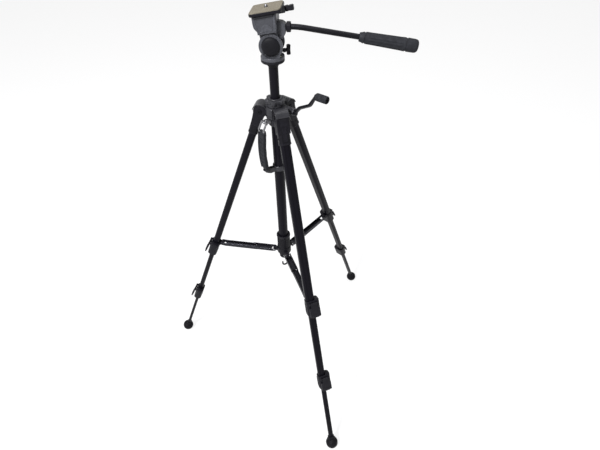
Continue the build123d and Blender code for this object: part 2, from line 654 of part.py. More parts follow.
def camera_screw():
    """1/4 inch screw with its head under the plate."""
    top = PLATE_TOP
    low = top - CORK_THICKNESS - PLATE_THICKNESS
    screw = rod_z(SCREW_RADIUS, top, top + SCREW_STANDS, PLATE_CENTER)
    screw += rod_z(SHANK_RADIUS, low - 1, top, PLATE_CENTER)
    screw += rod_z(5.8, low - 4.0, low + 1.2, PLATE_CENTER)
    return on_platform() * screw


def qr_lever():
    """Short cam lever beside the plate, on an upright pin."""
    top = PLATE_TOP - CORK_THICKNESS - PLATE_THICKNESS - 3.0
    lever = rod_z(4.6, top - 8, top + 2.6, 42.6, 20)
    lever += slab(42.6, 57.0, 16.0, 24.0, top - 8, top + 2.6)
    return on_platform() * lever


# ---------------------------------------------------------------- the whole tripod
def build():
    nodes = {
        "shoulder_casting": shoulder_casting(),
        "hinge_pins": hinge_pins(),
        "center_tube": center_tube(),
        "tube_end_cap": tube_end_cap(),
        "carry_grip": carry_grip(),
        "carry_bracket": carry_bracket(),
        "weight_hook": weight_hook(),
        "lock_ring": lock_ring(),
        "center_column": center_column(),
        "column_rack": column_rack(),
        "pan_base": pan_base(),
        "spirit_level": spirit_level(),
        "crank_shaft": crank_shaft(),
        "crank_arm": crank_arm(),
        "crank_knob": crank_knob(),
        "brace_hub": brace_hub(),
        "pan_housing": pan_housing(),
        "pan_knob": pan_knob(),
        "tilt_platform": tilt_platform(),
        "tilt_covers": tilt_covers(),
        "handle_nut": handle_nut(),
        "handle_arm": handle_arm(),
        "handle_grip": handle_grip(),
        "qr_lever": qr_lever(),
        "qr_plate": qr_plate(),
        "cork_pad": cork_pad(),
        "camera_screw": camera_screw(),
    }
    main_end, mid_end = UPPER_CLAMP[1] - 5, LOWER_CLAMP[1] - 5
    leg_pieces = {
        "leg_top": leg_top(),
        "leg_main": flat_tube(MAIN_TUBE, MAIN_START, main_end),
        "clamp_upper": upper_clamp(),
        "lever_upper": clamp_lever(UPPER_OUTER, *UPPER_CLAMP),
        "leg_mid": flat_tube(MID_TUBE, MID_START, mid_end),
        "clamp_lower": lower_clamp(),
        "lever_lower": clamp_lever(LOWER_OUTER, *LOWER_CLAMP),
        "leg_low": flat_tube(LOW_TUBE, LOW_START, LOW_END),
        "foot": foot(),
    }
    level_pieces = {"brace_channel": brace_channel(), "brace_fork": brace_fork()}
    for leg, azimuth in LEG_AZIMUTHS.items():
        for name, piece in leg_pieces.items():
            nodes[f"{name}_{leg}"] = on_leg(azimuth) * piece
        for name, piece in level_pieces.items():
            nodes[f"{name}_{leg}"] = Rot(0, 0, azimuth) * Pos(0, 0, BRACE_HEIGHT) * piece
    return nodes


if __name__ == "__main__":
    os.makedirs("parts", exist_ok=True)
    for name, shape in build().items():
        export_step(shape, f"parts/{name}.step")
    print(f"brace pins {BRACE_PIN_RADIUS:.2f} from the axis, {BRACE_HEIGHT:.2f} high, length {BRACE_LENGTH:.2f}")
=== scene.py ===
"""Looks of the camera tripod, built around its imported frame.

Shapes are written in millimetres in the frame of the part they belong to, such as a leg, the crank or the
tilting platform.  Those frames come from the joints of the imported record, and sizes from the CAD nodes.
"""
import json
import math

import bmesh
import bpy
import numpy as np
from mathutils import Matrix, Vector


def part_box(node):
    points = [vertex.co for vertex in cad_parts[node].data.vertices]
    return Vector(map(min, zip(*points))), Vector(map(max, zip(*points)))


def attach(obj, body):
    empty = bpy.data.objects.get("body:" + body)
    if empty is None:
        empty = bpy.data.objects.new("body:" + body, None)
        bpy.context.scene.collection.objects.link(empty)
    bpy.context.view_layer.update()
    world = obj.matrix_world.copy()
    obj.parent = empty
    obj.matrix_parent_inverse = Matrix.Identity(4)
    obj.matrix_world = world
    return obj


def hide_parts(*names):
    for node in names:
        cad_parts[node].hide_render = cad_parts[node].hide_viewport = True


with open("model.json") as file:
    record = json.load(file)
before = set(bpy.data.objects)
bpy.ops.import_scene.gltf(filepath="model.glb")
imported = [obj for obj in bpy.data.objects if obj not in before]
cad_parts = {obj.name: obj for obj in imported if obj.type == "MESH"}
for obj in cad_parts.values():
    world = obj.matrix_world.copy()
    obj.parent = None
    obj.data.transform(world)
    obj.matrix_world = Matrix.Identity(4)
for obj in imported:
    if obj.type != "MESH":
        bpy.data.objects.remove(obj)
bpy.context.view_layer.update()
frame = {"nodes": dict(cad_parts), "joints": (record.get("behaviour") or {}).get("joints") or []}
MM = 0.001
JOINTS = {joint["name"]: joint for joint in frame["joints"]}
LEGS = ("front", "right", "left")
UP = Vector((0, 0, 1))


# ---------------------------------------------------------------- frames of the object's parts
def place(name):
    """A joint's point, in metres."""
    return Vector(JOINTS[name]["pos_m"])


def axis(name):
    """A joint's direction."""
    return Vector(JOINTS[name]["axis"]).normalized()


def frame_from(origin, x, z):
    """Frame with its X and Z along the given directions, which are made square to each other."""
    z = z.normalized()
    y = z.cross(x).normalized()
    x = y.cross(z)
    matrix = Matrix((x, y, z)).transposed().to_4x4()
    matrix.translation = origin
    return matrix


def outward(point):
    return Vector((point.x, point.y, 0)).normalized()


def leg_frame(leg):
    """Origin on the leg's hinge, X outward, Z up along the leg."""
    pivot = place(f"leg_{leg}_fold")
    along = axis(f"mid_{leg}_slide")
    return frame_from(pivot, outward(pivot), along if along.z > 0 else -along)


def level_frame(leg):
    """Origin on the column's axis at the height of the leg's brace, X outward."""
    pin = place(f"channel_{leg}_swing")
    return frame_from(Vector((0, 0, pin.z)), outward(pin), UP)


def middle(node):
    low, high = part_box(node)
    return (low + high) / 2


LEG = {leg: leg_frame(leg) for leg in LEGS}
LEVEL = {leg: level_frame(leg) for leg in LEGS}
SHAFT = frame_from(place("crank_turn"), axis("crank_turn"), UP)
CRANK = frame_from(place("crank_turn"), axis("crank_turn"), place("crank_knob_spin") - place("crank_turn"))
CARRY = frame_from(Vector((0, 0, 0)), outward(middle("carry_grip")), UP)
HEAD = frame_from(place("tilt_turn"), outward(middle("handle_grip")), UP)
PLATFORM = frame_from(place("tilt_turn"), outward(middle("handle_grip")), axis("qr_plate_lift"))
WORLD = Matrix.Identity(4)


def span(node, at):
    """Lowest and highest corner of a CAD node in one of those frames, in millimetres."""
    points = np.array([vertex.co for vertex in frame["nodes"][node].data.vertices])
    inverse = np.array(at.inverted())
    local = (points @ inverse[:3, :3].T + inverse[:3, 3]) / MM
    return local.min(0), local.max(0)


def moved(x=0.0, y=0.0, z=0.0):
    return Matrix.Translation((x, y, z))


def turned(degrees, about="Z"):
    return Matrix.Rotation(math.radians(degrees), 4, about)


# ---------------------------------------------------------------- shapes
class Shape:
    """Vertices and faces, in millimetres."""

    def __init__(self, verts=(), faces=()):
        self.verts = [tuple(point) for point in verts]
        self.faces = [tuple(face) for face in faces]

    def __add__(self, other):
        base = len(self.verts)
        shifted = [tuple(i + base for i in face) for face in other.faces]
        return Shape(self.verts + other.verts, self.faces + shifted)

    def at(self, matrix):
        return Shape([tuple(matrix @ Vector(point)) for point in self.verts], self.faces)


def joined(shapes):
    total = Shape()
    for shape in shapes:
        total = total + shape
    return total


def to_bmesh(shape):
    mesh = bmesh.new()
    verts = [mesh.verts.new(point) for point in shape.verts]
    for face in shape.faces:
        mesh.faces.new([verts[i] for i in face])
    bmesh.ops.remove_doubles(mesh, verts=mesh.verts, dist=1e-4)
    bmesh.ops.dissolve_degenerate(mesh, edges=mesh.edges, dist=1e-4)
    bmesh.ops.recalc_face_normals(mesh, faces=mesh.faces)
    return mesh


def soft(shape, width, segments=2, angle=30):
    """The shape with its sharp edges rounded."""
    mesh = to_bmesh(shape)
    limit = math.radians(angle)
    sharp = [edge for edge in mesh.edges if edge.is_manifold and edge.calc_face_angle() > limit]
    bmesh.ops.bevel(
        mesh, geom=sharp, offset=width, offset_type="OFFSET", segments=segments,
        profile=0.5, affect="EDGES", clamp_overlap=True,
    )
    mesh.verts.ensure_lookup_table()
    mesh.verts.index_update()
    result = Shape([v.co for v in mesh.verts], [[v.index for v in face.verts] for face in mesh.faces])
    mesh.free()
    return result


def loft(rings, loop=False):
    """Skin over rings of equal length, with flat ends, or closed on itself."""
    count, size = len(rings), len(rings[0])
    faces = []
    for k in range(count if loop else count - 1):
        a, b = k * size, ((k + 1) % count) * size
        for i in range(size):
            j = (i + 1) % size
            faces.append((a + i, a + j, b + j, b + i))
    if not loop:
        faces.append(tuple(reversed(range(size))))
        faces.append(tuple(range((count - 1) * size, count * size)))
    return Shape([point for ring in rings for point in ring], faces)


def rect_ring(width, depth, corner, z, x=0.0, y=0.0, steps=6):
    """Rounded rectangle in a level plane."""
    points = []
    for sx, sy, start in ((1, 1, 0), (-1, 1, 90), (-1, -1, 180), (1, -1, 270)):
        for k in range(steps + 1):
            angle = math.radians(start + 90 * k / steps)
            points.append(
                (
                    x + sx * (width / 2 - corner) + corner * math.cos(angle),
                    y + sy * (depth / 2 - corner) + corner * math.sin(angle),
                    z,
                )
            )
    return points


def round_ring(radius, z, steps=64, wave=None):
    points = []
    for k in range(steps):
        angle = 2 * math.pi * k / steps
        reach = radius + (wave(angle) if wave else 0.0)
        points.append((reach * math.cos(angle), reach * math.sin(angle), z))
    return points


def lathe(profile, steps=64, loop=False):
    """Round body about Z from (radius, z) points; a zero radius closes an end."""
    return loft([round_ring(max(radius, 1e-6), z, steps) for radius, z in profile], loop)


def sleeve(outer, inner):
    """Hollow bar: stations of its outside from bottom to top, then of its inside from top to bottom."""
    return loft([rect_ring(w, d, c, z) for z, w, d, c in list(outer) + list(inner)], loop=True)


def prism(outline, y0, y1):
    """Outline in the XZ plane, between two Y values."""
    return loft([[(x, y0, z) for x, z in outline], [(x, y1, z) for x, z in outline]])


def slab(x0, x1, y0, y1, z0, z1):
    return prism([(x0, z0), (x1, z0), (x1, z1), (x0, z1)], y0, y1)


def arc(x, z, radius, start, end, steps=16):
    """Points on an arc in the XZ plane, by angle from +X towards +Z."""
    points = []
    for k in range(steps + 1):
        angle = math.radians(start + (end - start) * k / steps)
        points.append((x + radius * math.cos(angle), z + radius * math.sin(angle)))
    return points


def tube_along(path, radius, steps=16):
    """Round wire along a path of points, with flat ends."""
    points = [Vector(p) for p in path]
    rings = []
    side = Vector((0, 1, 0))
    for k, point in enumerate(points):
        ahead = points[min(k + 1, len(points) - 1)] - points[max(k - 1, 0)]
        ahead.normalize()
        side = (side - ahead * side.dot(ahead)).normalized()
        other = ahead.cross(side)
        turn = [2 * math.pi * i / steps for i in range(steps)]
        rings.append([point + (side * math.cos(a) + other * math.sin(a)) * radius for a in turn])
    return loft(rings)


ALONG_X = Matrix(((0, 0, 1, 0), (0, 1, 0, 0), (-1, 0, 0, 0), (0, 0, 0, 1)))
ALONG_Y = Matrix(((1, 0, 0, 0), (0, 0, 1, 0), (0, -1, 0, 0), (0, 0, 0, 1)))
SIDES = {1: ALONG_Y, -1: turned(180) @ ALONG_Y}


def on_side(x, y, z, side):
    """Frame on a face that looks along Y to the given side, with its own Z out of the face."""
    return moved(x, y, z) @ turned(-90 * side, "X")


def above(start, points):
    """Points whose second values are counted from a starting height."""
    return [(first, start + second) for first, second in points]


def mirrored(half):
    """Whole profile of a part from the half beyond its middle."""
    return [(radius, -along) for radius, along in half[::-1]] + half


def pin_head(radius, height, slotted=True):
    """Domed screw or rivet head on the plane z = 0, with a round recess if it is a screw."""
    dome = [(0, -0.6), (radius, -0.6), (radius, height * 0.35), (radius * 0.82, height * 0.8), (0, height)]
    if not slotted:
        return lathe(dome, 24)
    rim = [(0, -0.6), (radius, -0.6), (radius, height * 0.5), (radius * 0.86, height * 0.9)]
    recess = [(radius * 0.52, height), (radius * 0.42, height * 0.45), (0, height * 0.35)]
    return lathe(rim + recess, 24)


# ---------------------------------------------------------------- materials
class Look:
    """A procedural material under construction.

    Its patterns lie in the part's own frame, which pieces carry as the attribute "local".  CAD nodes that are
    shown as they are don't carry it, and use their own coordinates.
    """

    def __init__(self, name, local=True):
        self.material = bpy.data.materials.new(name)
        self.material.use_nodes = True
        self.tree = self.material.node_tree
        self.shader = self.tree.nodes["Principled BSDF"]
        if local:
            self.coords = self.node("ShaderNodeAttribute", attribute_name="local").outputs["Vector"]
        else:
            self.coords = self.node("ShaderNodeTexCoord").outputs["Object"]

    def node(self, kind, **settings):
        made = self.tree.nodes.new(kind)
        for key, value in settings.items():
            setattr(made, key, value)
        return made

    def wire(self, source, socket):
        if hasattr(source, "is_output"):
            self.tree.links.new(source, socket)
        else:
            socket.default_value = source

    def stretched(self, scale):
        mapping = self.node("ShaderNodeMapping")
        mapping.inputs["Scale"].default_value = scale
        self.wire(self.coords, mapping.inputs["Vector"])
        return mapping.outputs["Vector"]

    def noise(self, scale, detail=3.0, stretch=(1, 1, 1), rough=0.5):
        made = self.node("ShaderNodeTexNoise")
        self.wire(self.stretched(stretch), made.inputs["Vector"])
        made.inputs["Scale"].default_value = scale
        made.inputs["Detail"].default_value = detail
        made.inputs["Roughness"].default_value = rough
        return made.outputs["Fac"]

    def cells(self, scale, output="Color", feature="F1"):
        made = self.node("ShaderNodeTexVoronoi", feature=feature)
        self.wire(self.coords, made.inputs["Vector"])
        made.inputs["Scale"].default_value = scale
        return made.outputs[output]

    def edges(self, low, high):
        """Mask of the outer edges, where a highlight is painted."""
        return self.ramp(self.node("ShaderNodeNewGeometry").outputs["Pointiness"], low, high)

    def ramp(self, source, low, high, bottom=0.0, top=1.0):
        made = self.node("ShaderNodeMapRange")
        self.wire(source, made.inputs["Value"])
        for socket, value in (("From Min", low), ("From Max", high), ("To Min", bottom), ("To Max", top)):
            made.inputs[socket].default_value = value
        return made.outputs["Result"]

    def times(self, a, b):
        made = self.node("ShaderNodeMath", operation="MULTIPLY")
        self.wire(a, made.inputs[0])
        self.wire(b, made.inputs[1])
        return made.outputs[0]

    def mix(self, share, a, b):
        made = self.node("ShaderNodeMix", data_type="RGBA")
        self.wire(share, made.inputs["Factor"])
        self.wire(a, made.inputs["A"])
        self.wire(b, made.inputs["B"])
        return made.outputs[2]

    def bump(self, height, strength, distance):
        made = self.node("ShaderNodeBump")
        self.wire(height, made.inputs["Height"])
        made.inputs["Strength"].default_value = strength
        made.inputs["Distance"].default_value = distance
        self.wire(made.outputs["Normal"], self.shader.inputs["Normal"])

    def finish(self, colour, roughness, metal=0.0, specular=0.5):
        self.wire(colour, self.shader.inputs["Base Color"])
        self.wire(roughness, self.shader.inputs["Roughness"])
        self.shader.inputs["Metallic"].default_value = metal
        self.shader.inputs["Specular IOR Level"].default_value = specular
        return self.material


def shade(colour, factor):
    return (*[min(1.0, channel * factor) for channel in colour], 1.0)


def moulded(name, colour, roughness=0.5, grain=0.25, specular=0.35, local=True):
    """Moulded plastic: fine grain, faint cloudiness, and edges made paler by a painted highlight."""
    look = Look(name, local)
    tone = look.mix(look.noise(60, 4), shade(colour, 0.8), shade(colour, 1.22))
    # painted highlight: outer edges lightened by the pointiness mask, broken up by noise
    painted_edge_highlight = look.times(look.edges(0.505, 0.56), look.ramp(look.noise(220, 3), 0.35, 0.6, 0.25, 0.75))
    highlight_and_scuffs = look.mix(painted_edge_highlight, tone, shade(colour, 2.1))
    rough = look.ramp(look.noise(140, 3), 0.3, 0.7, roughness - 0.07, roughness + 0.07)
    look.bump(look.noise(2400, 2), grain, 0.00012)
    return look.finish(highlight_and_scuffs, rough, specular=specular)


def drawn_tube(name, colour, roughness=0.32, specular=0.075, local=True):
    """Anodised tube: streaks drawn along its length, and scuffs."""
    look = Look(name, local)
    streaks = look.noise(900, 4, (1, 1, 0.02))
    tone = look.mix(streaks, shade(colour, 0.72), shade(colour, 1.3))
    scuffs = look.ramp(look.noise(90, 6, (1, 1, 0.35), 0.65), 0.62, 0.78, 0.0, 0.3)
    highlight_and_scuffs = look.mix(scuffs, tone, shade(colour, 2.2))
    rough = look.ramp(streaks, 0.3, 0.7, roughness - 0.05, roughness + 0.08)
    look.bump(streaks, 0.12, 0.00008)
    return look.finish(highlight_and_scuffs, rough, metal=0.05, specular=specular)


def metal(name, colour, roughness=0.3, stretch=(1, 1, 0.05), local=True):
    """Plated or cast metal with fine brushing, and a painted highlight along its edges."""
    look = Look(name, local)
    brushed = look.noise(1300, 3, stretch)
    tone = look.mix(look.noise(70, 4), shade(colour, 0.82), shade(colour, 1.12))
    # painted highlight: outer edges lightened by the pointiness mask
    painted_edge_highlight = look.mix(look.times(look.edges(0.51, 0.58), 0.6), tone, shade(colour, 1.5))
    rough = look.ramp(brushed, 0.3, 0.7, roughness - 0.06, roughness + 0.12)
    look.bump(brushed, 0.1, 0.00006)
    return look.finish(painted_edge_highlight, rough, metal=0.9, specular=0.5)


def cork_look():
    """Pressed cork: pale granules of several tones, with dark specks between them."""
    look = Look("cork_granules")
    grain = look.cells(620)
    split = look.node("ShaderNodeSeparateColor")
    look.wire(grain, split.inputs["Color"])
    pale, tan, dark = (0.146, 0.133, 0.104), (0.1, 0.087, 0.066), (0.035, 0.028, 0.022)
    tone = look.mix(split.outputs[0], shade(tan, 1.0), shade(pale, 1.0))
    cloudy = look.mix(look.ramp(look.noise(90, 4), 0.35, 0.65, 0.0, 0.35), tone, shade(tan, 0.95))
    specks = look.ramp(look.noise(760, 3), 0.6, 0.7, 0.0, 0.75)
    speckled = look.mix(specks, cloudy, shade(dark, 1.0))
    look.bump(look.cells(620, "Distance"), 0.5, 0.0003)
    return look.finish(speckled, look.ramp(split.outputs[1], 0, 1, 0.72, 0.92), specular=0.25)


def rubber_look(name, colour):
    """Soft black rubber, dusty where it is handled."""
    look = Look(name)
    dust = look.ramp(look.noise(130, 5, rough=0.6), 0.45, 0.75, 0.0, 0.5)
    tone = look.mix(dust, shade(colour, 0.85), shade(colour, 1.9))
    look.bump(look.noise(1500, 3), 0.3, 0.00015)
    return look.finish(tone, look.ramp(look.noise(300, 2), 0.3, 0.7, 0.5, 0.65), specular=0.08)


def vial_look():
    """Pale green fluid behind a clear dome."""
    look = Look("vial_fluid")
    tone = look.mix(look.noise(220, 2), (0.55, 0.66, 0.34, 1), (0.72, 0.8, 0.5, 1))
    look.shader.inputs["Coat Weight"].default_value = 0.6
    look.shader.inputs["Coat Roughness"].default_value = 0.05
    return look.finish(tone, look.ramp(look.noise(90, 2), 0.3, 0.7, 0.08, 0.16), specular=0.5)


TUBE = (0.0035, 0.0032, 0.0052)
COLUMN = (0.0040, 0.0037, 0.0058)
RACK = (0.009, 0.009, 0.011)
STEEL_DARK = (0.0085, 0.0085, 0.0105)
LOOKS = {
    "anodised_tube": drawn_tube("tube_anodised", TUBE),
    "column_tube": drawn_tube("column_anodised", COLUMN),
    "casting": moulded("casting_grey", (0.013, 0.013, 0.0155), 0.36, 0.3, 0.26),
    "clamp_plastic": moulded("clamp_black", (0.0042, 0.0040, 0.0056), 0.38, specular=0.1),
    "lever_plastic": moulded("lever_black", (0.0056, 0.0054, 0.0072), 0.36, specular=0.12),
    "head_plastic": moulded("head_grey", (0.026, 0.027, 0.032), 0.4, 0.3, 0.26),
    "cover_plastic": moulded("cover_dark", (0.0055, 0.0055, 0.007), 0.5, 0.3, 0.08),
    "grip_plastic": rubber_look("grip_soft", (0.0145, 0.0152, 0.0182)),
    "steel_bright": metal("steel_bright", (0.19, 0.19, 0.2), 0.38),
    "steel_dark": metal("steel_dark", STEEL_DARK, 0.36),
    "cork": cork_look(),
    "foot_rubber": rubber_look("foot_black", (0.0052, 0.005, 0.0066)),
    "rack_plastic": moulded("rack_nylon", RACK, 0.4),
    "vial": vial_look(),
    "channel_metal": metal("channel_painted", (0.02, 0.02, 0.025), 0.42, (0.05, 1, 1)),
}
NODE_LOOKS = {
    "anodised_tube": drawn_tube("tube_node", TUBE, local=False),
    "column_tube": drawn_tube("column_node", COLUMN, local=False),
    "rack_plastic": moulded("rack_node", RACK, 0.4, local=False),
    "steel_dark": metal("steel_node", STEEL_DARK, 0.36, local=False),
}
# Dark plastic for the vial's ring and the dots on the tilt rings, and painted shade on the platform's sides
INK_AND_SHADE = moulded("ink_and_painted_shade", (0.012, 0.012, 0.014), 0.7, 0.1, 0.15)


# ---------------------------------------------------------------- pieces
def piece(name, shape, at, body, slot, stands_for=(), look=None):
    """Makes an object of the shape, in place on its body."""
    bm = to_bmesh(shape)
    mesh = bpy.data.meshes.new(name)
    bm.to_mesh(mesh)
    bm.free()
    mesh.transform(Matrix.Scale(MM, 4))
    local = mesh.attributes.new("local", "FLOAT_VECTOR", "POINT")
    local.data.foreach_set("vector", [value for vertex in mesh.vertices for value in vertex.co])
    mesh.transform(at)
    mesh.shade_smooth()
    mesh.set_sharp_from_angle(angle=math.radians(38))
    mesh.materials.append(look or LOOKS[slot])
    made = bpy.data.objects.new(name, mesh)
    bpy.context.scene.collection.objects.link(made)
    weighted = made.modifiers.new("Shading", "WEIGHTED_NORMAL")
    weighted.keep_sharp = True
    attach(made, body)
    if stands_for:
        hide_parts(*stands_for)
    return made


def finish_node(node, slot):
    """A CAD node that is shown as it is, in its slot's material."""
    target = frame["nodes"][node]
    target.data.materials.clear()
    target.data.materials.append(NODE_LOOKS[slot])


# ---------------------------------------------------------------- legs
MAIN = (19.0, 24.2, 6.5)            # leg sections: radial depth, tangential width, corner
MID = (14.2, 20.0, 4.8)
LOW = (9.6, 14.4, 3.4)
UPPER_BODY = (27.0, 37.0)           # clamp bodies: radial depth, tangential width
LOWER_BODY = (24.0, 36.0)
HINGE_OUT, HINGE_DOWN = 3.4, 7.5    # lever hinge beyond the clamp's face, and below its top


def section_ring(section, z, inset=0.0, grooves=()):
    """Leg section at one height, with shallow grooves along its outward face."""
    depth, width, corner = section[0] - 2 * inset, section[1] - 2 * inset, section[2] - inset
    points = rect_ring(depth, width, corner, z)
    for y in grooves:
        sink = 0.0 if inset > 0.5 else 0.55
        for dy, share in ((-0.9, 0), (-0.45, 1), (0.45, 1), (0.9, 0)):
            points.append((depth / 2 - share * sink, y + dy, z))
    return points


def leg_tube(section, z0, z1, grooves):
    """Hollow leg section with deburred ends."""
    wall = 1.1
    stations = [(z0, 0.3), (z0 + 0.4, 0), (z1 - 0.4, 0), (z1, 0.3), (z1, wall), (z0, wall)]
    return loft([section_ring(section, z, inset, grooves) for z, inset in stations], loop=True)


def knuckle(leg):
    """Leg top: two domed cheeks, a sleeve over the tube with a lip, and its screws."""
    low, high = span(f"leg_top_{leg}", LEG[leg])
    dome, end = high[2], low[2]
    outline = arc(0, 0, dome, -30, 210, 32) + [(-12.2, -24), (-11.4, -40), (11.4, -40), (12.2, -24)]
    shape = joined(soft(prism(outline, side * 9.0, side * high[1]), 1.5, 3) for side in (-1, 1))
    skirt = arc(0, 0, dome - 0.4, 62, -36, 24) + [(11.8, -21), (9.2, -21), (9.6, -9.4)]
    skirt += arc(0, 0, 12.8, -36, 62, 20)
    shape += soft(prism(skirt, -9.3, 9.3), 0.3, 1)
    for side in (-1, 1):
        face = on_side(0, side * (high[1] - 0.25), 0, side)
        rim = [(10.6, -0.8), (10.6, 0.1), (10.1, 0.45), (9.2, 0.45), (8.7, 0.1), (8.7, -0.8)]
        shape += lathe(rim, 48, loop=True).at(face)
    outer = [(end, 22.6, 27.2, 6.8), (end + 0.9, 24.0, 28.6, 7.5), (end + 4.2, 24.0, 28.6, 7.5)]
    outer += [(end + 4.9, 23.2, 27.8, 7.1), (-20.5, 23.2, 27.8, 7.1), (-18.2, 22.0, 26.6, 6.6)]
    inner = [(-18.2, 12.0, 14.0, 3.0), (end + 3.0, 12.0, 14.0, 3.0), (end + 3.0, 19.2, 24.4, 6.5)]
    inner += [(end, 19.6, 24.8, 6.7)]
    shape += sleeve(outer, inner)
    for side in (-1, 1):
        screw = on_side(0, side * 13.8, -50, side)
        shape += pin_head(2.6, 0.9).at(screw)
    ridge = soft(slab(11.2, 12.3, -5.2, 5.2, end + 9, -24), 0.6, 2)
    return shape + ridge


def collar_body(section, held, sliding, z0, z1, shift):
    """Clamp body: rolled top rim, groove below it, open mouths round the two tubes, ribs at its sides."""
    depth, width = section

    def ring(z, grow, corner=8.0):
        return rect_ring(depth + 2 * grow, width + 2 * grow, corner + grow, z, y=shift)

    def mouth(tube, z, grow):
        return rect_ring(tube[0] + 2 * grow, tube[1] + 2 * grow, tube[2] + grow, z)

    rings = [ring(z0, -1.5), ring(z0 + 0.5, -0.6), ring(z0 + 1.6, -0.1), ring(z0 + 3.0, 0)]
    rings += [ring(z1 - 6.2, 0), ring(z1 - 5.7, -0.7), ring(z1 - 4.9, -0.7), ring(z1 - 4.3, 0)]
    rings += [ring(z1 - 1.3, 0), ring(z1 - 0.4, -0.45), ring(z1, -1.3)]
    rings += [mouth(held, z1, 1.6), mouth(held, z1 - 0.8, 0.7), mouth(held, z1 - 2.2, 0.15)]
    rings += [mouth(held, z1 - 6, -3), mouth(sliding, z0 + 6, 0.25), mouth(sliding, z0 + 1.5, 0.35)]
    rings += [mouth(sliding, z0, 1.5)]
    shape = loft(rings, loop=True)
    for side in (-1, 1):
        face = shift + side * width / 2
        for k in range(4):
            x = -7.2 + 3.6 * k
            rib = slab(x - 0.7, x + 0.7, face - side * 1.0, face + side * 0.35, z0 + 6, z1 - 9)
            shape += soft(rib, 0.35, 1)
    back = -depth / 2
    screw = moved(back, shift + width / 2 - 11, (z0 + z1) / 2) @ turned(-90, "Y")
    return shape + pin_head(2.3, 0.8).at(screw)


def lever_ears(section, z1, shift):
    """Two knuckles that carry the lever's pin on the clamp's outer face."""
    face = section[0] / 2
    x, z = face + HINGE_OUT, z1 - HINGE_DOWN
    outline = [(face - 3, z - 4.6), (x, z - 3.4)] + arc(x, z, 3.4, -90, 90, 12)
    outline += [(x - 1, z + 3.4), (face - 3, z + 4.6)]
    ears = Shape()
    for side in (-1, 1):
        ears += soft(prism(outline, shift + side * 9.75, shift + side * 13.2), 0.5, 2)
        head = on_side(x, shift + side * 13.1, z, side)
        ears += pin_head(1.9, 0.7, slotted=False).at(head)
    return ears


def brace_lug(leg):
    """Tongue and pin on the upper clamp's inner side, for the spreader."""
    at = LEG[leg]
    pin = (at.inverted() @ place(f"channel_{leg}_swing")) / MM
    x, z = pin.x, pin.z
    outline = [(-13.0, z - 14)] + arc(x, z, 5.4, 232, 100, 14) + [(-13.0, z + 5)]
    lug = soft(prism(outline, -4.4, 4.4), 0.7, 2)
    pin_reach = 8.9
    for side in (-1, 1):
        head = on_side(x, side * pin_reach, z, side)
        lug += pin_head(3.3, 1.0, slotted=False).at(head)
    shaft = lathe(mirrored([(1.95, pin_reach), (0, pin_reach)]), 20)
    return lug + shaft.at(moved(x, 0, z) @ ALONG_Y)


def flip_lever(section, z0, z1, shift):
    """Cam lever: barrel, curved paddle with a raised border, and a scooped finger tip with grip ridges."""
    face = section[0] / 2
    x, z = face + HINGE_OUT, z1 - HINGE_DOWN
    tip = z0 - 0.8
    back = [(face + 0.9, z - 4.4), (face + 2.4, z - 12), (face + 3.6, tip + 13), (face + 5.8, tip + 0.6)]
    front = [(face + 9.2, tip + 0.2), (face + 10.5, tip + 3.5), (face + 9.8, tip + 12), (face + 8.2, z - 12)]
    neck = prism(back + front + [(x + 3.1, z - 3)] + arc(x, z, 3.15, 0, 90, 8), shift - 9.1, shift + 9.1)
    lever = soft(neck, 0.8, 3)
    wing = [(face + 2.9, z - 11), (face + 3.8, tip + 13), (face + 5.9, tip + 1)]
    wing += [(face + 9.0, tip + 1), (face + 9.9, tip + 4), (face + 9.2, tip + 12), (face + 7.8, z - 11)]
    lever += soft(prism(wing, shift - 14.9, shift + 14.9), 1.4, 3)
    for k in range(4):
        height = tip + 4.0 + 2.4 * k
        ridge = above(height, [
            (face + 9.2, -0.6), (face + 10.55, -0.35), (face + 10.55, 0.35), (face + 9.2, 0.6)
        ])
        lever += soft(prism(ridge, shift - 8.5, shift + 8.5), 0.25, 1)
    return lever


def ball_foot(leg):
    """Rubber ball with a moulded seam, a flat tread and a stepped collar."""
    low, high = span(f"foot_{leg}", LEG[leg])
    radius = (high[1] - low[1]) / 2
    centre = low[2] + radius
    profile = []
    for k in range(37):
        angle = math.radians(-90 + 180 * k / 36)
        bulge = 0.45 if k == 20 else 0.0
        profile.append(((radius - 0.45 + bulge) * math.cos(angle), (radius - 0.45) * math.sin(angle)))
    ball = lathe(profile, 64).at(moved(0, 0, centre))
    top = high[2]
    step = [(centre + 11, 16.6, 21.0, 6.0), (top - 9.5, 16.2, 20.6, 6.0), (top - 8.6, 15.0, 19.4, 5.4)]
    step += [
        (top - 1.2, 14.6, 19.0, 5.2), (top, 13.6, 18.0, 4.8), (top, 10.4, 15.2, 3.7),
        (top - 3, 9.8, 14.6, 3.4)
    ]
    rings = [rect_ring(w, d, c, z) for z, w, d, c in step]
    return ball + loft(rings) + tread(radius, centre)


def tread(radius, centre):
    """Ring of short grip bars round the ball's lower half."""
    bars = Shape()
    for k in range(14):
        block = soft(slab(-1.3, 1.3, -0.9, 0.9, -3.2, 3.2), 0.4, 1)
        tip = Matrix.Rotation(math.radians(-36), 4, "Y") @ moved(radius - 0.95, 0, 0)
        bars += block.at(moved(0, 0, centre) @ turned(360 * (k + 0.5) / 14) @ tip)
    return bars


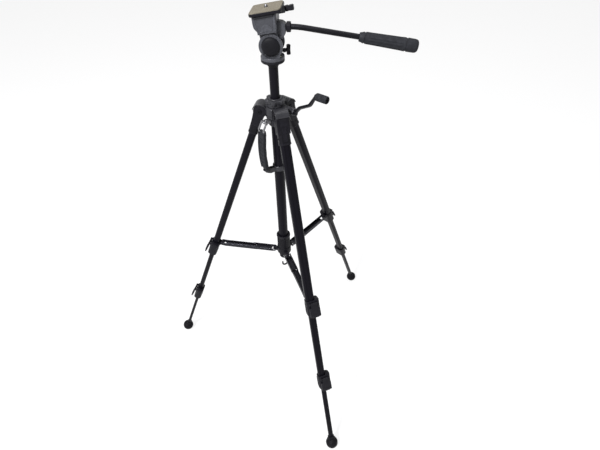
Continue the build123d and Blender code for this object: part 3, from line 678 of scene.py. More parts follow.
def build_leg(leg):
    at = LEG[leg]
    piece(f"knuckle_{leg}", knuckle(leg), at, f"leg_{leg}", "clamp_plastic", [f"leg_top_{leg}"])
    tubes = (
        ("main", MAIN, f"leg_{leg}", (-5.0, 5.0)),
        ("mid", MID, f"mid_{leg}", (-3.2, 3.2)),
        ("low", LOW, f"low_{leg}", (0.0,)),
    )
    for name, section, body, grooves in tubes:
        low, high = span(f"leg_{name}_{leg}", at)
        shape = leg_tube(section, low[2], high[2], grooves)
        piece(f"tube_{name}_{leg}", shape, at, body, "anodised_tube", [f"leg_{name}_{leg}"])
    clamps = (
        ("upper", UPPER_BODY, MAIN, MID, f"leg_{leg}"),
        ("lower", LOWER_BODY, MID, LOW, f"mid_{leg}"),
    )
    for name, section, held, sliding, body in clamps:
        node = f"clamp_{name}_{leg}"
        low, high = span(node, at)
        lever_low, lever_high = span(f"lever_{name}_{leg}", at)
        shift = (lever_low[1] + lever_high[1]) / 2
        hinge = (at.inverted() @ place(f"{name}_lever_{leg}_flip")) / MM
        top = hinge.z + HINGE_DOWN
        shape = collar_body(section, held, sliding, low[2], top, shift)
        shape += lever_ears(section, top, shift)
        if name == "upper":
            shape += brace_lug(leg)
        piece(f"collar_{name}_{leg}", shape, at, body, "clamp_plastic", [node])
        lever = flip_lever(section, low[2], top, shift)
        piece(
            f"paddle_{name}_{leg}", lever, at, f"{name}_lever_{leg}", "lever_plastic",
            [f"lever_{name}_{leg}"]
        )
    piece(f"ball_{leg}", ball_foot(leg), at, f"low_{leg}", "foot_rubber", [f"foot_{leg}"])


# ---------------------------------------------------------------- spreader
def channel_bar(leg):
    """Folded sheet channel with rolled edges, hinged on its leg."""
    low, high = span(f"brace_channel_{leg}", LEVEL[leg])
    pin = (LEVEL[leg].inverted() @ place(f"channel_{leg}_swing")) / MM
    half, floor, wall = high[1], low[2], 1.3
    inner, outer = low[0], pin.x
    cross = [
        (-half, 4.5), (-half, floor + 1.6), (-half + 1.6, floor), (half - 1.6, floor), (half, floor + 1.6),
        (half, 4.5)
    ]
    lip = [(half - wall, 4.5), (half - wall, floor + 2.2), (half - 2.2, floor + wall)]
    lip += [(-half + 2.2, floor + wall), (-half + wall, floor + 2.2), (-half + wall, 4.5)]
    ring = cross + lip
    shape = soft(loft([[(x, y, z) for y, z in ring] for x in (inner, outer - 8.5)]), 0.35, 1)
    shape += soft(slab(inner - 6.5, inner + 1, 1.6 - half, half - 1.6, floor, floor + wall), 0.3, 1)
    for side in (-1, 1):
        ear = [(outer - 12, 4.5), (outer - 12, floor + 2), (outer - 8.5, floor + 1.5)]
        ear += arc(outer, 0, 5.2, -80, 90, 14)
        shape += soft(prism(ear, side * half, side * (half - wall)), 0.3, 1)
        for x in (inner + 14, outer - 24):
            dimple = on_side(x, side * (half - 0.1), -1, side)
            shape += pin_head(2.4, 0.7, slotted=False).at(dimple)
    return shape


def fork_bar(leg):
    """Two flat blades joined by a bridge, with eyes on the hub's pin."""
    low, high = span(f"brace_fork_{leg}", LEVEL[leg])
    half, wall = high[1], 1.3
    inner, reach = low[0] + 4.8, high[0] - 4.8
    shape = soft(slab(inner + 8.5, inner + 13, -half, half, -4.5, 4.5), 0.5, 2)
    channel_end = span(f"brace_channel_{leg}", LEVEL[leg])[0][0]
    shape += soft(slab(inner + 10, channel_end - 1.0, -half + 0.6, half - 0.6, -4.4, -3.2), 0.4, 1)
    for side in (-1, 1):
        blade = arc(inner, 0, 4.8, 90, 270, 14) + arc(reach, 0, 4.8, -90, 90, 14)
        shape += soft(prism(blade, side * half, side * (half - wall)), 0.3, 1)
        rivet = on_side(reach - 1, side * (half - 0.1), 0, side)
        shape += pin_head(2.6, 0.8, slotted=False).at(rivet)
    return shape


def slider_hub():
    """Hub with a rolled rim, vertical ribs, a waist and a lug with a bright pin for each brace."""
    low, high = span("brace_hub", WORLD)
    z0, z1, bore = low[2], high[2], 13.7
    profile = above(z0, [(18.8, 0), (20.2, 0.8), (20.6, 2.2), (20.6, 19), (20.0, 21), (18.4, 23)])
    profile += above(z1, [(18.2, -9), (19.0, -7), (20.0, -5.5), (20.0, -1.2), (19.2, -0.3), (18.2, 0)])
    profile += [(bore + 1.6, z1), (bore + 1.2, z1 - 2.5), (bore, z1 - 4), (bore, z0)]
    shape = lathe(profile, 72, loop=True)
    for k in range(24):
        rib = soft(slab(17.6, 18.95, -0.7, 0.7, z0 + 24, z1 - 9.5), 0.35, 1)
        shape += rib.at(turned(15 * k + 7.5))
    for leg in LEGS:
        pin = (LEVEL[leg].inverted() @ place(f"fork_{leg}_swing")) / MM
        tongue = [(16, -6.5), (pin.x - 4, -4.6)] + arc(pin.x, 0, 4.6, -90, 90, 14) + [(16, 5.5)]
        lug = soft(prism(tongue, -4.4, 4.4), 0.6, 2).at(moved(0, 0, LEVEL[leg].translation.z / MM))
        shape += lug.at(Matrix.Rotation(math.atan2(LEVEL[leg][1][0], LEVEL[leg][0][0]), 4, "Z"))
    return shape


def hub_pins():
    """Pins of the three forks in the hub's lugs."""
    pins = Shape()
    for leg in LEGS:
        pin = (LEVEL[leg].inverted() @ place(f"fork_{leg}_swing")) / MM
        shaft = lathe(mirrored([(1.95, 9.9), (3.4, 9.9), (3.4, 10.2), (3.0, 10.6), (0, 10.6)]), 24)
        turn = Matrix.Rotation(math.atan2(LEVEL[leg][1][0], LEVEL[leg][0][0]), 4, "Z")
        pins += shaft.at(turn @ moved(pin.x, 0, LEVEL[leg].translation.z / MM) @ ALONG_Y)
    return pins


def end_plug():
    """Turned plug in the foot of the centre tube, with a knurled band."""
    low, high = span("tube_end_cap", WORLD)
    z0 = low[2]
    profile = above(z0, [(2.5, 0), (8.6, 0), (9.4, 0.6), (14.0, 4.6), (14.6, 5.6), (14.6, 10.2)])
    profile += [(13.9, z0 + 11), (11.4, z0 + 11), (11.4, high[2]), (2.5, high[2])]
    shape = lathe(profile, 64, loop=True)
    for k in range(30):
        shape += soft(slab(14.2, 15.0 - 0.35, -0.45, 0.45, z0 + 6, z0 + 9.8), 0.2, 1).at(turned(12 * k))
    return shape


HOOK_WIRE = 2.4         # radius, thicker than the CAD's 1.7


def hook_wire():
    """Wire hook: collar, and a stem that steps aside and bends round into an open end."""
    low, high = span("weight_hook", WORLD)
    top, wire = high[2], HOOK_WIRE
    reach = high[0] - wire
    bight = low[2] + wire + reach
    path = [(0, 0, top), (0, 0, top - 12), (0, 0, top - 16), (1.2, 0, top - 19), (reach - 1.2, 0, top - 25)]
    path += [(reach, 0, top - 28)] + [(x, 0, z) for x, z in arc(0, bight, reach, 0, -180, 28)]
    path += [(-reach, 0, bight + 3), (-reach, 0, bight + 6)]
    shape = tube_along(path, wire, 16)
    collar = above(top, [(0, -15.5), (3.4, -15.5), (4.2, -14.8), (4.2, -12.2), (3.4, -11.4), (0, -11.4)])
    return shape + lathe(collar, 28)


def build_spreader():
    for leg in LEGS:
        at = LEVEL[leg]
        piece(
            f"strut_{leg}", channel_bar(leg), at, f"channel_{leg}", "channel_metal",
            [f"brace_channel_{leg}"]
        )
        piece(f"blades_{leg}", fork_bar(leg), at, f"fork_{leg}", "channel_metal", [f"brace_fork_{leg}"])
    piece("slider", slider_hub(), WORLD, "brace_hub", "clamp_plastic", ["brace_hub"])
    piece("slider_pins", hub_pins(), WORLD, "brace_hub", "steel_bright")
    piece("plug", end_plug(), WORLD, "stand", "clamp_plastic", ["tube_end_cap"])
    piece("hook_bent", hook_wire(), WORLD, "hook", "steel_dark", ["weight_hook"])


# ---------------------------------------------------------------- shoulder
def carved(shape, cutters):
    """The shape with other closed shapes cut out of it."""
    scene = bpy.context.scene.collection
    objects = []
    for part in (shape, *cutters):
        mesh = bpy.data.meshes.new("carving")
        bm = to_bmesh(part)
        bm.to_mesh(mesh)
        bm.free()
        objects.append(bpy.data.objects.new("carving", mesh))
        scene.objects.link(objects[-1])
    for cutter in objects[1:]:
        modifier = objects[0].modifiers.new("cut", "BOOLEAN")
        modifier.operation, modifier.object, modifier.solver = "DIFFERENCE", cutter, "EXACT"
    bpy.context.view_layer.update()
    evaluated = objects[0].evaluated_get(bpy.context.evaluated_depsgraph_get())
    mesh = bpy.data.meshes.new_from_object(evaluated)
    result = Shape([v.co for v in mesh.vertices], [list(face.vertices) for face in mesh.polygons])
    for made in objects:
        bpy.data.objects.remove(made)
    return result


def leg_turn(leg):
    pivot = place(f"leg_{leg}_fold")
    return Matrix.Rotation(math.atan2(pivot.y, pivot.x), 4, "Z")


def leg_pivot(leg):
    """The leg's hinge axis: its distance from the column and its height, in millimetres."""
    pivot = place(f"leg_{leg}_fold") / MM
    return math.hypot(pivot.x, pivot.y), pivot.z


GAP = (8.6, 16.2)       # where the room for a leg's cheek starts and ends, from the leg's middle
HOOD = (18.3, 16.7)     # outer and inner radius of the hood over a leg's hinge


def shoulder_body():
    """Turned hub with a belt, cut away where the legs' cheeks swing, with tongues, hoods and crank boss."""
    z0 = span("shoulder_casting", WORLD)[0][2]
    reach, height = leg_pivot("front")
    top, bore = height + 13.0, 11.2
    profile = above(z0, [(13.7, 0), (18.2, 0), (19.0, 0.8), (21.8, 20), (25.0, 21.2), (25.8, 22.2)])
    profile += [(26.0, z0 + 25), (25.2, z0 + 26.2), (25.2, z0 + 29), (26.0, z0 + 30.2), (26.0, top - 5)]
    profile += [
        (25.4, top - 2.4), (23.8, top - 0.6), (22.0, top), (bore, top), (bore, z0 + 33), (13.7, z0 + 30)
    ]
    hub = lathe(profile, 96, loop=True)
    slots = []
    for leg in LEGS:
        for side in (-1, 1):
            slots.append(slab(19.6, 60, side * GAP[0], side * GAP[1], z0 - 5, top + 5).at(leg_turn(leg)))
    shape = soft(carved(hub, slots), 0.5, 2, 40)
    for leg in LEGS:
        tongue = [(17, height - 10.5), (reach - 4, height - 11.4)] + arc(reach, height, 12.0, -90, 90, 18)
        tongue += [(reach - 6, height + 11.6), (17, height + 11.6)]
        shape += soft(prism(tongue, -8.5, 8.5), 0.8, 2).at(leg_turn(leg))
        outer = arc(reach, height, HOOD[0], 14, 160, 32)
        inner = arc(reach, height, HOOD[1], 160, 14, 32)
        shape += soft(prism(outer + inner, -GAP[1], GAP[1]), 0.7, 3).at(leg_turn(leg))
    return shape


def crank_boss():
    """Boss round the crank's shaft, ribbed, with a stepped end."""
    profile = [
        (7.2, 14), (8.6, 22), (8.6, 30), (8.0, 31), (8.0, 40), (8.8, 41), (8.8, 44.6), (8.2, 45.6),
        (3.7, 45.6), (3.7, 14)
    ]
    boss = lathe(profile, 48, loop=True)
    for k in range(8):
        boss += soft(slab(7.6, 8.7, -0.5, 0.5, 31.5, 39.5), 0.25, 1).at(turned(45 * k))
    return boss.at(ALONG_X)


def hinge_bolts():
    """Heads of the three leg hinge bolts, proud of the cheeks."""
    bolts = Shape()
    reach, height = leg_pivot("front")
    for leg in LEGS:
        for side in (-1, 1):
            face = on_side(reach, side * 16.3, height, side)
            head = [
                (0, -0.8), (5.0, -0.8), (5.2, -0.4), (5.2, 0.5), (4.7, 1.1), (2.4, 1.3), (2.0, 0.5),
                (0, 0.4)
            ]
            bolts += lathe(head, 32).at(leg_turn(leg) @ face)
        rod = lathe(mirrored([(2.9, 16.6), (0, 16.6)]), 20)
        bolts += rod.at(leg_turn(leg) @ moved(reach, 0, height) @ ALONG_Y)
    return bolts


def collar_lobes():
    """Lobed lock ring: dark drum below, wavy flange with finger notches above, and a raised inner collar."""
    low, high = span("lock_ring", WORLD)
    z0, z1, bore = low[2], high[2] - 1.5, 11.1
    radius = (high[0] - low[0]) / 2

    def lobes(angle):
        return -1.7 + 1.7 * math.tanh(2.2 * math.cos(6 * angle)) / math.tanh(2.2)

    profile = above(z0, [(bore, 0), (20.0, 0), (20.8, 0.8), (20.8, 6), (19.6, 7.2), (bore, 7.2)])
    drum = lathe(profile, 72, loop=True)
    for k in range(36):
        drum += soft(slab(20.3, 21.3, -0.6, 0.6, z0 + 1.2, z0 + 5.6), 0.3, 1).at(turned(10 * k))
    steps = [(radius - 1.6, z0 + 7.0), (radius - 0.4, z0 + 7.8), (radius, z0 + 9.0), (radius, z1 - 2.2)]
    steps += [(radius - 0.5, z1 - 0.8), (radius - 1.8, z1)]
    rings = [round_ring(bore, z0 + 7.0, 96)] + [round_ring(r, z, 96, lobes) for r, z in steps]
    rings += [round_ring(17.6, z1, 96), round_ring(17.0, z1 - 0.8, 96), round_ring(16.4, z1 + 0.9, 96)]
    rings += [
        round_ring(15.8, z1 + 1.45, 96), round_ring(12.4, z1 + 1.45, 96), round_ring(bore, z1 + 0.4, 96)
    ]
    return drum + loft(rings, loop=True)


# ---------------------------------------------------------------- carrying handle
CARRY_RING = 786.0      # underside of the ring that holds the grip's foot, above the floor


def carry_line():
    """Ends of the grip and a function for its centre line's distance from the column."""
    low, high = span("carry_grip", CARRY)
    z0, z1 = low[2] + 3, high[2] - 3
    far = high[0] - 5.2

    def at(z):
        share = (z - (z0 + z1) / 2) / ((z1 - z0) / 2)
        return far - 4.5 * share * share

    return z0, z1, at


def handle_bow():
    """Arched grip: rounded core, rails along both edges, and cross ribs that leave a row of dimples."""
    z0, z1, line = carry_line()
    rings, count = [], 36
    for k in range(count + 1):
        z = z0 - 2.6 + (z1 - z0 + 5.2) * k / count
        share = abs(2 * k / count - 1)
        width = 23.6 - 4.2 * max(0.0, share - 0.82) / 0.18
        depth = 8.4 - 1.4 * max(0.0, share - 0.86) / 0.14
        scallop = 0.55 * math.cos(4 * math.pi * (2 * k / count - 1)) * (1 if share < 0.8 else 0)
        rings.append(rect_ring(depth, width, 3.2, z, x=line(z) - 0.9 - scallop * 0.5))
    shape = loft(rings)
    for side in (-1, 1):
        heights = np.linspace(z0 + 2, z1 - 2, 30)
        shape += loft([rect_ring(4.4, 4.0, 1.7, z, x=line(z) + 2.9, y=side * 9.6) for z in heights])
    for z in np.linspace(z0 + 7, z1 - 7, 9):
        rib = [rect_ring(2.6, 17, 1.2, z + dz, x=line(z) + 3.0) for dz in (-1.5, -0.9, 0.9, 1.5)]
        shape += loft(rib)
    return shape


def carry_metal():
    """Metal fork from the shoulder to the grip's top, with its bolts and rivets."""
    _, z1, line = carry_line()
    top, grip = z1 + 3, line(z1)
    root = [(21.5, 926.5), (21.5, 933.6), (35.6, 933.6), (38.2, 929), (34.2, 926.5)]
    shape = soft(prism(root, -6.9, 6.9), 0.7, 2)
    shape += soft(slab(33.7, 37.6, -10.8, 10.8, 926.6, 932.6), 0.9, 2)
    for side in (-1, 1):
        prong = [
            (34.0, 931.8), (37.4, 931.8), (grip + 4.3, top + 5), (grip + 4.3, top - 1.2),
            (grip + 0.8, top - 1.2), (grip + 0.6, top + 4)
        ]
        shape += soft(prism(prong, side * 6.9, side * 10.8), 0.6, 2)
        bolt = on_side(grip + 2.2, side * 10.6, top + 1.4, side)
        shape += pin_head(2.4, 0.9, slotted=False).at(bolt)
    rivet = moved(30.5, 0, 933.4)
    shape += pin_head(2.8, 1.2, slotted=False).at(rivet)
    face = moved(37.6, 0, 929.6) @ turned(90, "Y")
    return shape + pin_head(2.5, 1.1, slotted=False).at(face)


def carry_foot():
    """Ring on the centre tube and the arm that holds the grip's lower end."""
    z0, low = carry_line()[0], CARRY_RING
    ring = above(low, [(13.7, 0), (16.0, 0), (16.7, 0.8), (16.7, 13.2), (16.0, 14), (13.7, 14)])
    shape = lathe(ring, 48, loop=True)
    outline = [
        (14.5, low + 1.4), (30, low + 1.4), (38, low + 5.2), (46.8, low + 11), (46.8, z0 - 3.2),
        (37, z0 - 3.2), (14.5, low + 12.6)
    ]
    for side in (-1, 1):
        shape += soft(prism(outline, side * 6.4, side * 3.6), 0.7, 2)
    web = above(low, [(14.5, 3), (30, 3), (46, 10.4), (46, 12.8), (30, 6), (14.5, 6)])
    shape += soft(prism(web, -5, 5), 0.4, 1)
    for side in (-1, 1):
        bolt = on_side(34, side * 6.3, low + 11, side)
        shape += pin_head(3.4, 1.3, slotted=False).at(bolt)
    return shape


# ---------------------------------------------------------------- crank
CRANK_LINE = [(48.5, 0.0), (53.5, 12.0), (80.0, 25.5), (87.5, 48.0)]    # along the shaft, and out from it


def rounded_path(points, radius, steps=6):
    """The path with its inner corners turned into short curves."""
    path = [Vector(points[0])]
    for before, corner, after in zip(points, points[1:], points[2:]):
        a, b, c = Vector(before), Vector(corner), Vector(after)
        start, end = b + (a - b).normalized() * radius, b + (c - b).normalized() * radius
        for k in range(steps + 1):
            t = k / steps
            path.append(start * (1 - t) ** 2 + b * 2 * t * (1 - t) + end * t * t)
    return path + [Vector(points[-1])]


def arm_bar():
    """Pressed flat arm with a stiffening bead, an eye at each end and the knob's pin."""
    path = rounded_path(CRANK_LINE, 5.0)
    left, right = [], []
    for k, point in enumerate(path):
        ahead = (path[min(k + 1, len(path) - 1)] - path[max(k - 1, 0)]).normalized()
        end = min((point - path[0]).length, (point - path[-1]).length)
        side = Vector((-ahead.y, ahead.x)) * (1.55 + 1.5 * min(1.0, end / 9))
        left.append(tuple(point + side))
        right.append(tuple(point - side))
    shape = soft(prism(left + right[::-1], -4.5, 4.5), 0.7, 2)
    (x0, r0), (x3, r3) = CRANK_LINE[0], CRANK_LINE[-1]
    eye = [(0, -1.8), (6.0, -1.8), (6.6, -1.2), (6.6, 1.2), (6.0, 1.8), (3.2, 1.9), (3.0, 2.9), (0, 2.9)]
    shape += lathe(eye, 32).at(moved(x0, 0, r0) @ ALONG_X)
    eye = mirrored([(5.4, 1.0), (5.0, 1.5), (0, 1.5)])
    shape += lathe(eye, 32).at(moved(x3, 0, r3) @ ALONG_X)
    screw = [
        (0, 0), (2.5, 0), (2.5, 27.5), (5.2, 27.5), (5.2, 29.2), (4.2, 30.2), (1.8, 30.4), (1.6, 29.4),
        (0, 29.4)
    ]
    return shape + lathe(screw, 32).at(moved(x3, 0, r3) @ ALONG_X)


def barrel_knob():
    """Ribbed barrel, open at its outer end round the pin's head."""
    low, high = span("crank_knob", CRANK)
    x0, x1, radius, r3 = low[0], high[0], (high[1] - low[1]) / 2, CRANK_LINE[-1][1]
    profile = [
        (radius - 1.8, x0, 0), (radius - 0.5, x0 + 0.6, 0), (radius - 0.1, x0 + 2.2, 0),
        (radius - 0.1, x0 + 3.4, 0)
    ]
    profile += [
        (radius, x0 + 4.4, 1), (radius, x1 - 4.4, 1), (radius - 0.1, x1 - 3.4, 0),
        (radius - 0.1, x1 - 1.6, 0)
    ]
    profile += [
        (radius - 1.0, x1 - 0.3, 0), (radius - 1.9, x1, 0), (radius - 2.4, x1 - 0.6, 0),
        (6.2, x1 - 3.5, 0), (2.7, x1 - 3.6, 0), (2.7, x0, 0)
    ]

    def ribs(angle):
        return -0.45 + 0.45 * math.cos(16 * angle)

    rings = [round_ring(reach, x, 96, ribs if ribbed else None) for reach, x, ribbed in profile]
    return loft(rings, loop=True).at(moved(0, 0, r3) @ ALONG_X)


def build_shoulder():
    piece("shoulder", shoulder_body(), WORLD, "stand", "casting", ["shoulder_casting"])
    piece("boss", crank_boss(), SHAFT, "stand", "casting")
    piece("hinge_bolts", hinge_bolts(), WORLD, "stand", "steel_dark", ["hinge_pins"])
    piece("lobed_ring", collar_lobes(), WORLD, "lock_ring", "casting", ["lock_ring"])
    piece("bow", handle_bow(), CARRY, "stand", "grip_plastic", ["carry_grip"])
    piece("carry_fork", carry_metal(), CARRY, "stand", "steel_bright", ["carry_bracket"])
    piece("carry_arm", carry_foot(), CARRY, "stand", "casting")
    piece("crank_bar", arm_bar(), CRANK, "crank", "steel_dark", ["crank_arm"])
    piece("barrel", barrel_knob(), CRANK, "crank_knob", "grip_plastic", ["crank_knob"])
    finish_node("crank_shaft", "steel_dark")
    finish_node("center_tube", "anodised_tube")
    finish_node("center_column", "column_tube")
    finish_node("column_rack", "rack_plastic")


# ---------------------------------------------------------------- head
def inset(outline, amount):
    """Outline moved inwards by the same amount along every side."""
    points = [Vector(p) for p in outline]
    area = sum(a.x * b.y - b.x * a.y for a, b in zip(points, points[1:] + points[:1]))
    sign = 1 if area > 0 else -1
    result = []
    for before, corner, after in zip(points[-1:] + points[:-1], points, points[1:] + points[:1]):
        a, b = (corner - before).normalized(), (after - corner).normalized()
        normal = Vector((-a.y - b.y, a.x + b.x)).normalized() * sign
        half = max(0.3, normal.dot(Vector((-a.y, a.x)) * sign))
        result.append(tuple(corner + normal * amount / half))
    return result


def framed(outline, width, y0, y1):
    """Raised border along an outline, between two Y values."""
    inner = inset(outline, width)
    rings = [[(x, y0, z) for x, z in outline], [(x, y1, z) for x, z in outline]]
    rings += [[(x, y1, z) for x, z in inner], [(x, y0, z) for x, z in inner]]
    return loft(rings, loop=True)


WIDER = 1.4         # how far the pan disc and its base stand outside the CAD's


def neck():
    """Base on the column: fluted neck, flared underside and a banded rim."""
    low, high = span("pan_base", HEAD)
    z0, top, rim = low[2], high[2], high[0] + WIDER
    profile = above(z0, [(10.85, 0), (11.2, 0), (11.6, 1), (14.0, 8.8), (14.6, 9.4), (rim - 3.0, 9.8)])
    profile += [
        (rim - 1.4, z0 + 10.6), (rim - 0.2, z0 + 12.0), (rim, z0 + 12.8), (rim, top - 0.4),
        (rim - 0.4, top), (10.85, top)
    ]
    shape = lathe(profile, 80, loop=True)
    for k in range(20):
        flute = prism(above(z0, [(10.9, 1.4), (12.2, 1.4), (14.7, 9.0), (13.2, 9.0)]), -0.6, 0.6)
        shape += soft(flute, 0.3, 1).at(turned(18 * k))
    return shape


RING, RING_HOLE = 25.6, 19.3        # radii of the fixed ring round the tilt axis, on each side
RING_FACES = (15.0, 19.0)           # where its faces lie along that axis


def turntable():
    """Disc with index marks, pillar, tilt drum with its stub shafts, and a fixed ring on each side."""
    low, high = span("pan_housing", HEAD)
    base, rim = low[2], high[0] + WIDER
    top = base + 7.7
    profile = [
        (0, base), (rim - 0.4, base), (rim, base + 0.4), (rim, top - 2.4), (rim - 0.5, top - 1.3),
        (rim - 2.2, top - 0.4)
    ]
    profile += [(rim - 3.4, top), (0, top)]
    shape = lathe(profile, 96)
    recess = lathe(above(top, [(0, -3.2), (4.7, -3.2), (4.7, 2), (0, 2)]), 40)
    shape = soft(carved(shape, [recess.at(moved(17.5, -11.0))]), 0.25, 1, 50)
    for k in range(36):
        mark = slab(rim - 0.5, rim - 0.08, -0.25, 0.25, base + 1.2, base + 3.6)
        shape += mark.at(turned(10 * k))
    shape += soft(prism([(-17, top - 1), (17, top - 1), (16, -2), (-16, -2)], -12, 12), 1.6, 3)
    step = above(top, [(-19.5, -1), (19.5, -1), (16.5, 3.4), (-16.5, 3.4)])
    shape += soft(prism(step, -14.5, 14.5), 1.0, 2)
    drum = [(17.2, 2.8), (18.0, 3.4), (18.0, 10.4), (17.6, 11.4), (16.6, 12.0), (0, 12.0)]
    shape += lathe(mirrored(drum), 72).at(ALONG_Y)
    for side in (-1, 1):
        rim_line = arc(0, 0, RING, 0, 360, 72)[:-1]
        hole_line = arc(0, 0, RING_HOLE, 0, 360, 72)[:-1]
        y0, y1 = (side * face for face in RING_FACES)
        faces = ((rim_line, y0), (rim_line, y1), (hole_line, y1), (hole_line, y0))
        shape += soft(loft([[(x, y, z) for x, z in line] for line, y in faces], loop=True), 0.7, 2)
        stay = [(-19, top - 1), (19, top - 1)] + arc(0, 0, 19.4, -18, -162, 24)
        shape += soft(prism(stay, y0, y1), 0.6, 2)
    stub = [(5.9, 19.4), (5.4, 19.9), (0, 19.9)]
    return shape + lathe(mirrored(stub), 40).at(ALONG_Y)


def vial_cup():
    """Bezel round the bubble vial."""
    low, high = span("spirit_level", HEAD)
    x, y, top = (low[0] + high[0]) / 2, (low[1] + high[1]) / 2, high[2]
    bezel = above(top, [(3.3, -2.6), (4.15, -2.6), (4.15, -0.2), (3.8, 0), (3.5, -0.1), (3.3, -0.5)])
    return lathe(bezel, 40, loop=True).at(moved(x, y))


def vial_dome():
    """Fluid under its clear dome."""
    low, high = span("spirit_level", HEAD)
    x, y, top = (low[0] + high[0]) / 2, (low[1] + high[1]) / 2, high[2]
    dome = above(top, [(0, -3.4), (3.3, -3.4), (3.3, -0.7), (2.8, -0.35), (1.7, -0.1), (0, 0)])
    return lathe(dome, 40).at(moved(x, y))


def bubble():
    """Ring on top of the dome, round its bubble."""
    low, high = span("spirit_level", HEAD)
    x, y, top = (low[0] + high[0]) / 2, (low[1] + high[1]) / 2, high[2]
    ring = above(top, [(1.35, -0.5), (1.6, -0.4), (1.65, -0.02), (1.4, 0.02), (1.3, -0.1)])
    return lathe(ring, 32, loop=True).at(moved(x + 0.2, y - 0.1))


def pan_screw():
    """Lock screw: stem, collar and an upright winged head with grip ribs at its ends."""
    at = frame_from(place("pan_lock_turn"), axis("pan_lock_turn"), UP)
    low, high = span("pan_knob", at)
    if abs(low[0]) > abs(high[0]):
        at = at @ Matrix.Rotation(math.pi, 4, "Z")
        low, high = span("pan_knob", at)
    end = high[0]
    stem = [(0, low[0]), (2.6, low[0]), (2.6, end - 8), (0, end - 8)]
    shape = lathe(stem, 28).at(ALONG_X)
    collar = above(end, [
        (0, -16.4), (4.0, -16.4), (4.6, -15.8), (4.6, -11.4), (3.8, -10.4), (2.6, -10.0), (0, -9)
    ])
    shape += lathe(collar, 32).at(ALONG_X)
    rings = []
    half = [(0, 8.2, 5.6), (3.6, 8.4, 5.8), (7.6, 8.6, 6.4), (10.2, 8.0, 6.2), (11, 5.6, 4.6)]
    for z, depth, width in [(-z, depth, width) for z, depth, width in half[:0:-1]] + half:
        rings.append(rect_ring(depth, width, min(depth, width) * 0.36, z, x=end - 3.9))
    wing = loft(rings)
    hub = [(0, end - 9.4), (3.7, end - 9.4), (4.3, end - 8.6)]
    hub += [(4.0, end - 3), (3.2, end - 1.6), (0, end - 1.4)]
    for side in (-1, 1):
        for k in range(3):
            z = side * (6.0 + 1.7 * k)
            wing += soft(slab(end - 6.7, end - 0.1, -3.9, 3.9, z - 0.4, z + 0.4), 0.25, 1)
    return shape + wing + lathe(hub, 32).at(ALONG_X), at


BLOCK = [       # platform, seen along the tilt axis
    (-20.3, 27.2), (19.5, 27.2), (26.5, 64), (-24.9, 64),
    (-26, 49), (-25.6, 42), (-23.5, 38), (-20.3, 33.5),
]
CHEEK = (12.4, 14.7)        # where a tilt cheek's faces lie along the tilt axis
BRACKET = [(14, 28), (22, 44), (32, 41), (37.5, 36), (35.0, 18.5), (27, 9), (21.5, 9)]


def platform_body():
    """Platform: tapered block with framed panels and arched bosses, its tilt cheeks, and the bracket."""
    top = span("tilt_platform", PLATFORM)[1][2]
    block = [(x, min(z, top)) for x, z in BLOCK]
    core = prism(block, -23.2, 23.2)
    pocket = slab(-20, 22, -26, 20, top - 5, top + 3)
    shape = soft(carved(core, [pocket]), 0.9, 3)
    for side in (-1, 1):
        y0, y1 = side * 22.6, side * 24.0
        panel = [(-18.8, 31), (12, 31), (17.5, 61.5), (-22.8, 61.5)]
        shape += soft(framed(panel, 2.2, y0, y1), 0.5, 2)
        shape += soft(prism([(13.0, 30), (18.6, 30), (24.6, 61), (18.8, 61)], y0, y1), 0.6, 2)
        arch_outer = [(-11, 30.5)] + arc(0, 34, 11.4, 170, 10, 20) + [(11, 30.5)]
        shape += soft(prism(arch_outer, side * 22.4, side * 23.9), 0.7, 2)
        arch_inner = [(-7.4, 31.5)] + arc(0, 33.6, 8.0, 170, 10, 18) + [(7.4, 31.5)]
        shape += soft(prism(arch_inner, side * 22.4, side * 24.0), 0.5, 2)
    for side in (-1, 1):
        cheek = arc(0, 0, 19.0, 195, 345, 40) + [(19.0, 12), (19.0, 28.5), (-19.0, 28.5), (-19.0, 12)]
        shape += soft(prism(cheek, side * CHEEK[0], side * CHEEK[1]), 0.5, 2)
        disc = [(0, CHEEK[1] - 0.1), (18.9, CHEEK[1] - 0.1), (18.9, 19.0), (0, 19.0)]
        shape += lathe(disc, 64).at(SIDES[side])
    shape += soft(prism(BRACKET, -9, 9), 1.3, 3)
    rib = framed(
        [(24.4, 42), (31.5, 39.6), (35.6, 35.4), (33.6, 19.6), (26.4, 11.6), (22.6, 13)], 1.8, -9.5, -8.4
    )
    shape += soft(rib, 0.35, 1)
    shape += soft(slab(24, 38, 15, 24, top - 13, top), 1.0, 3)
    return shape


def detents():
    """Seven dots round the top of each fixed ring, one to a tilt mark."""
    marks = Shape()
    for side in (-1, 1):
        for k in range(7):
            angle = math.radians(117 - 20.8 * k)
            reach = (RING + RING_HOLE) / 2
            spot = on_side(reach * math.cos(angle), side * 19.08, reach * math.sin(angle), side)
            marks += lathe([(0, -0.6), (1.0, -0.6), (1.0, 0), (0, 0.02)], 20).at(spot)
    return marks


def slot_shade_sheets():
    """Thin dark sheets on the platform's sides: painted shade in place of openings, which are not cut."""
    marks = Shape()
    for side in (-1, 1):
        outline = [(20.6, 42), (22.4, 42), (24.0, 56), (21.8, 56)]
        marks += prism(outline, side * 23.3, side * 24.06)
    return marks


def cover_caps():
    """Smooth domed covers with a fine rim, one at each end of the tilt axis."""
    _, reach, radius = span("tilt_covers", PLATFORM)[1]
    profile = [(0, 19.05), (radius - 0.9, 19.05), (radius, 19.6), (radius, 20.6), (radius - 0.6, 21.2)]
    for k in range(10):
        angle = math.radians(10 + 80 * k / 9)
        profile.append(((radius - 0.8) * math.cos(angle), 21.0 + (reach - 21.0) * math.sin(angle)))
    profile[-1] = (0, reach)
    shape = Shape()
    for side in (-1, 1):
        shape += lathe(profile, 72).at(SIDES[side])
    return shape


def socket_frame():
    """On the socket's centre, with X out along the handle's first straight part."""
    return frame_from(place("handle_twist"), axis("handle_twist"), UP)


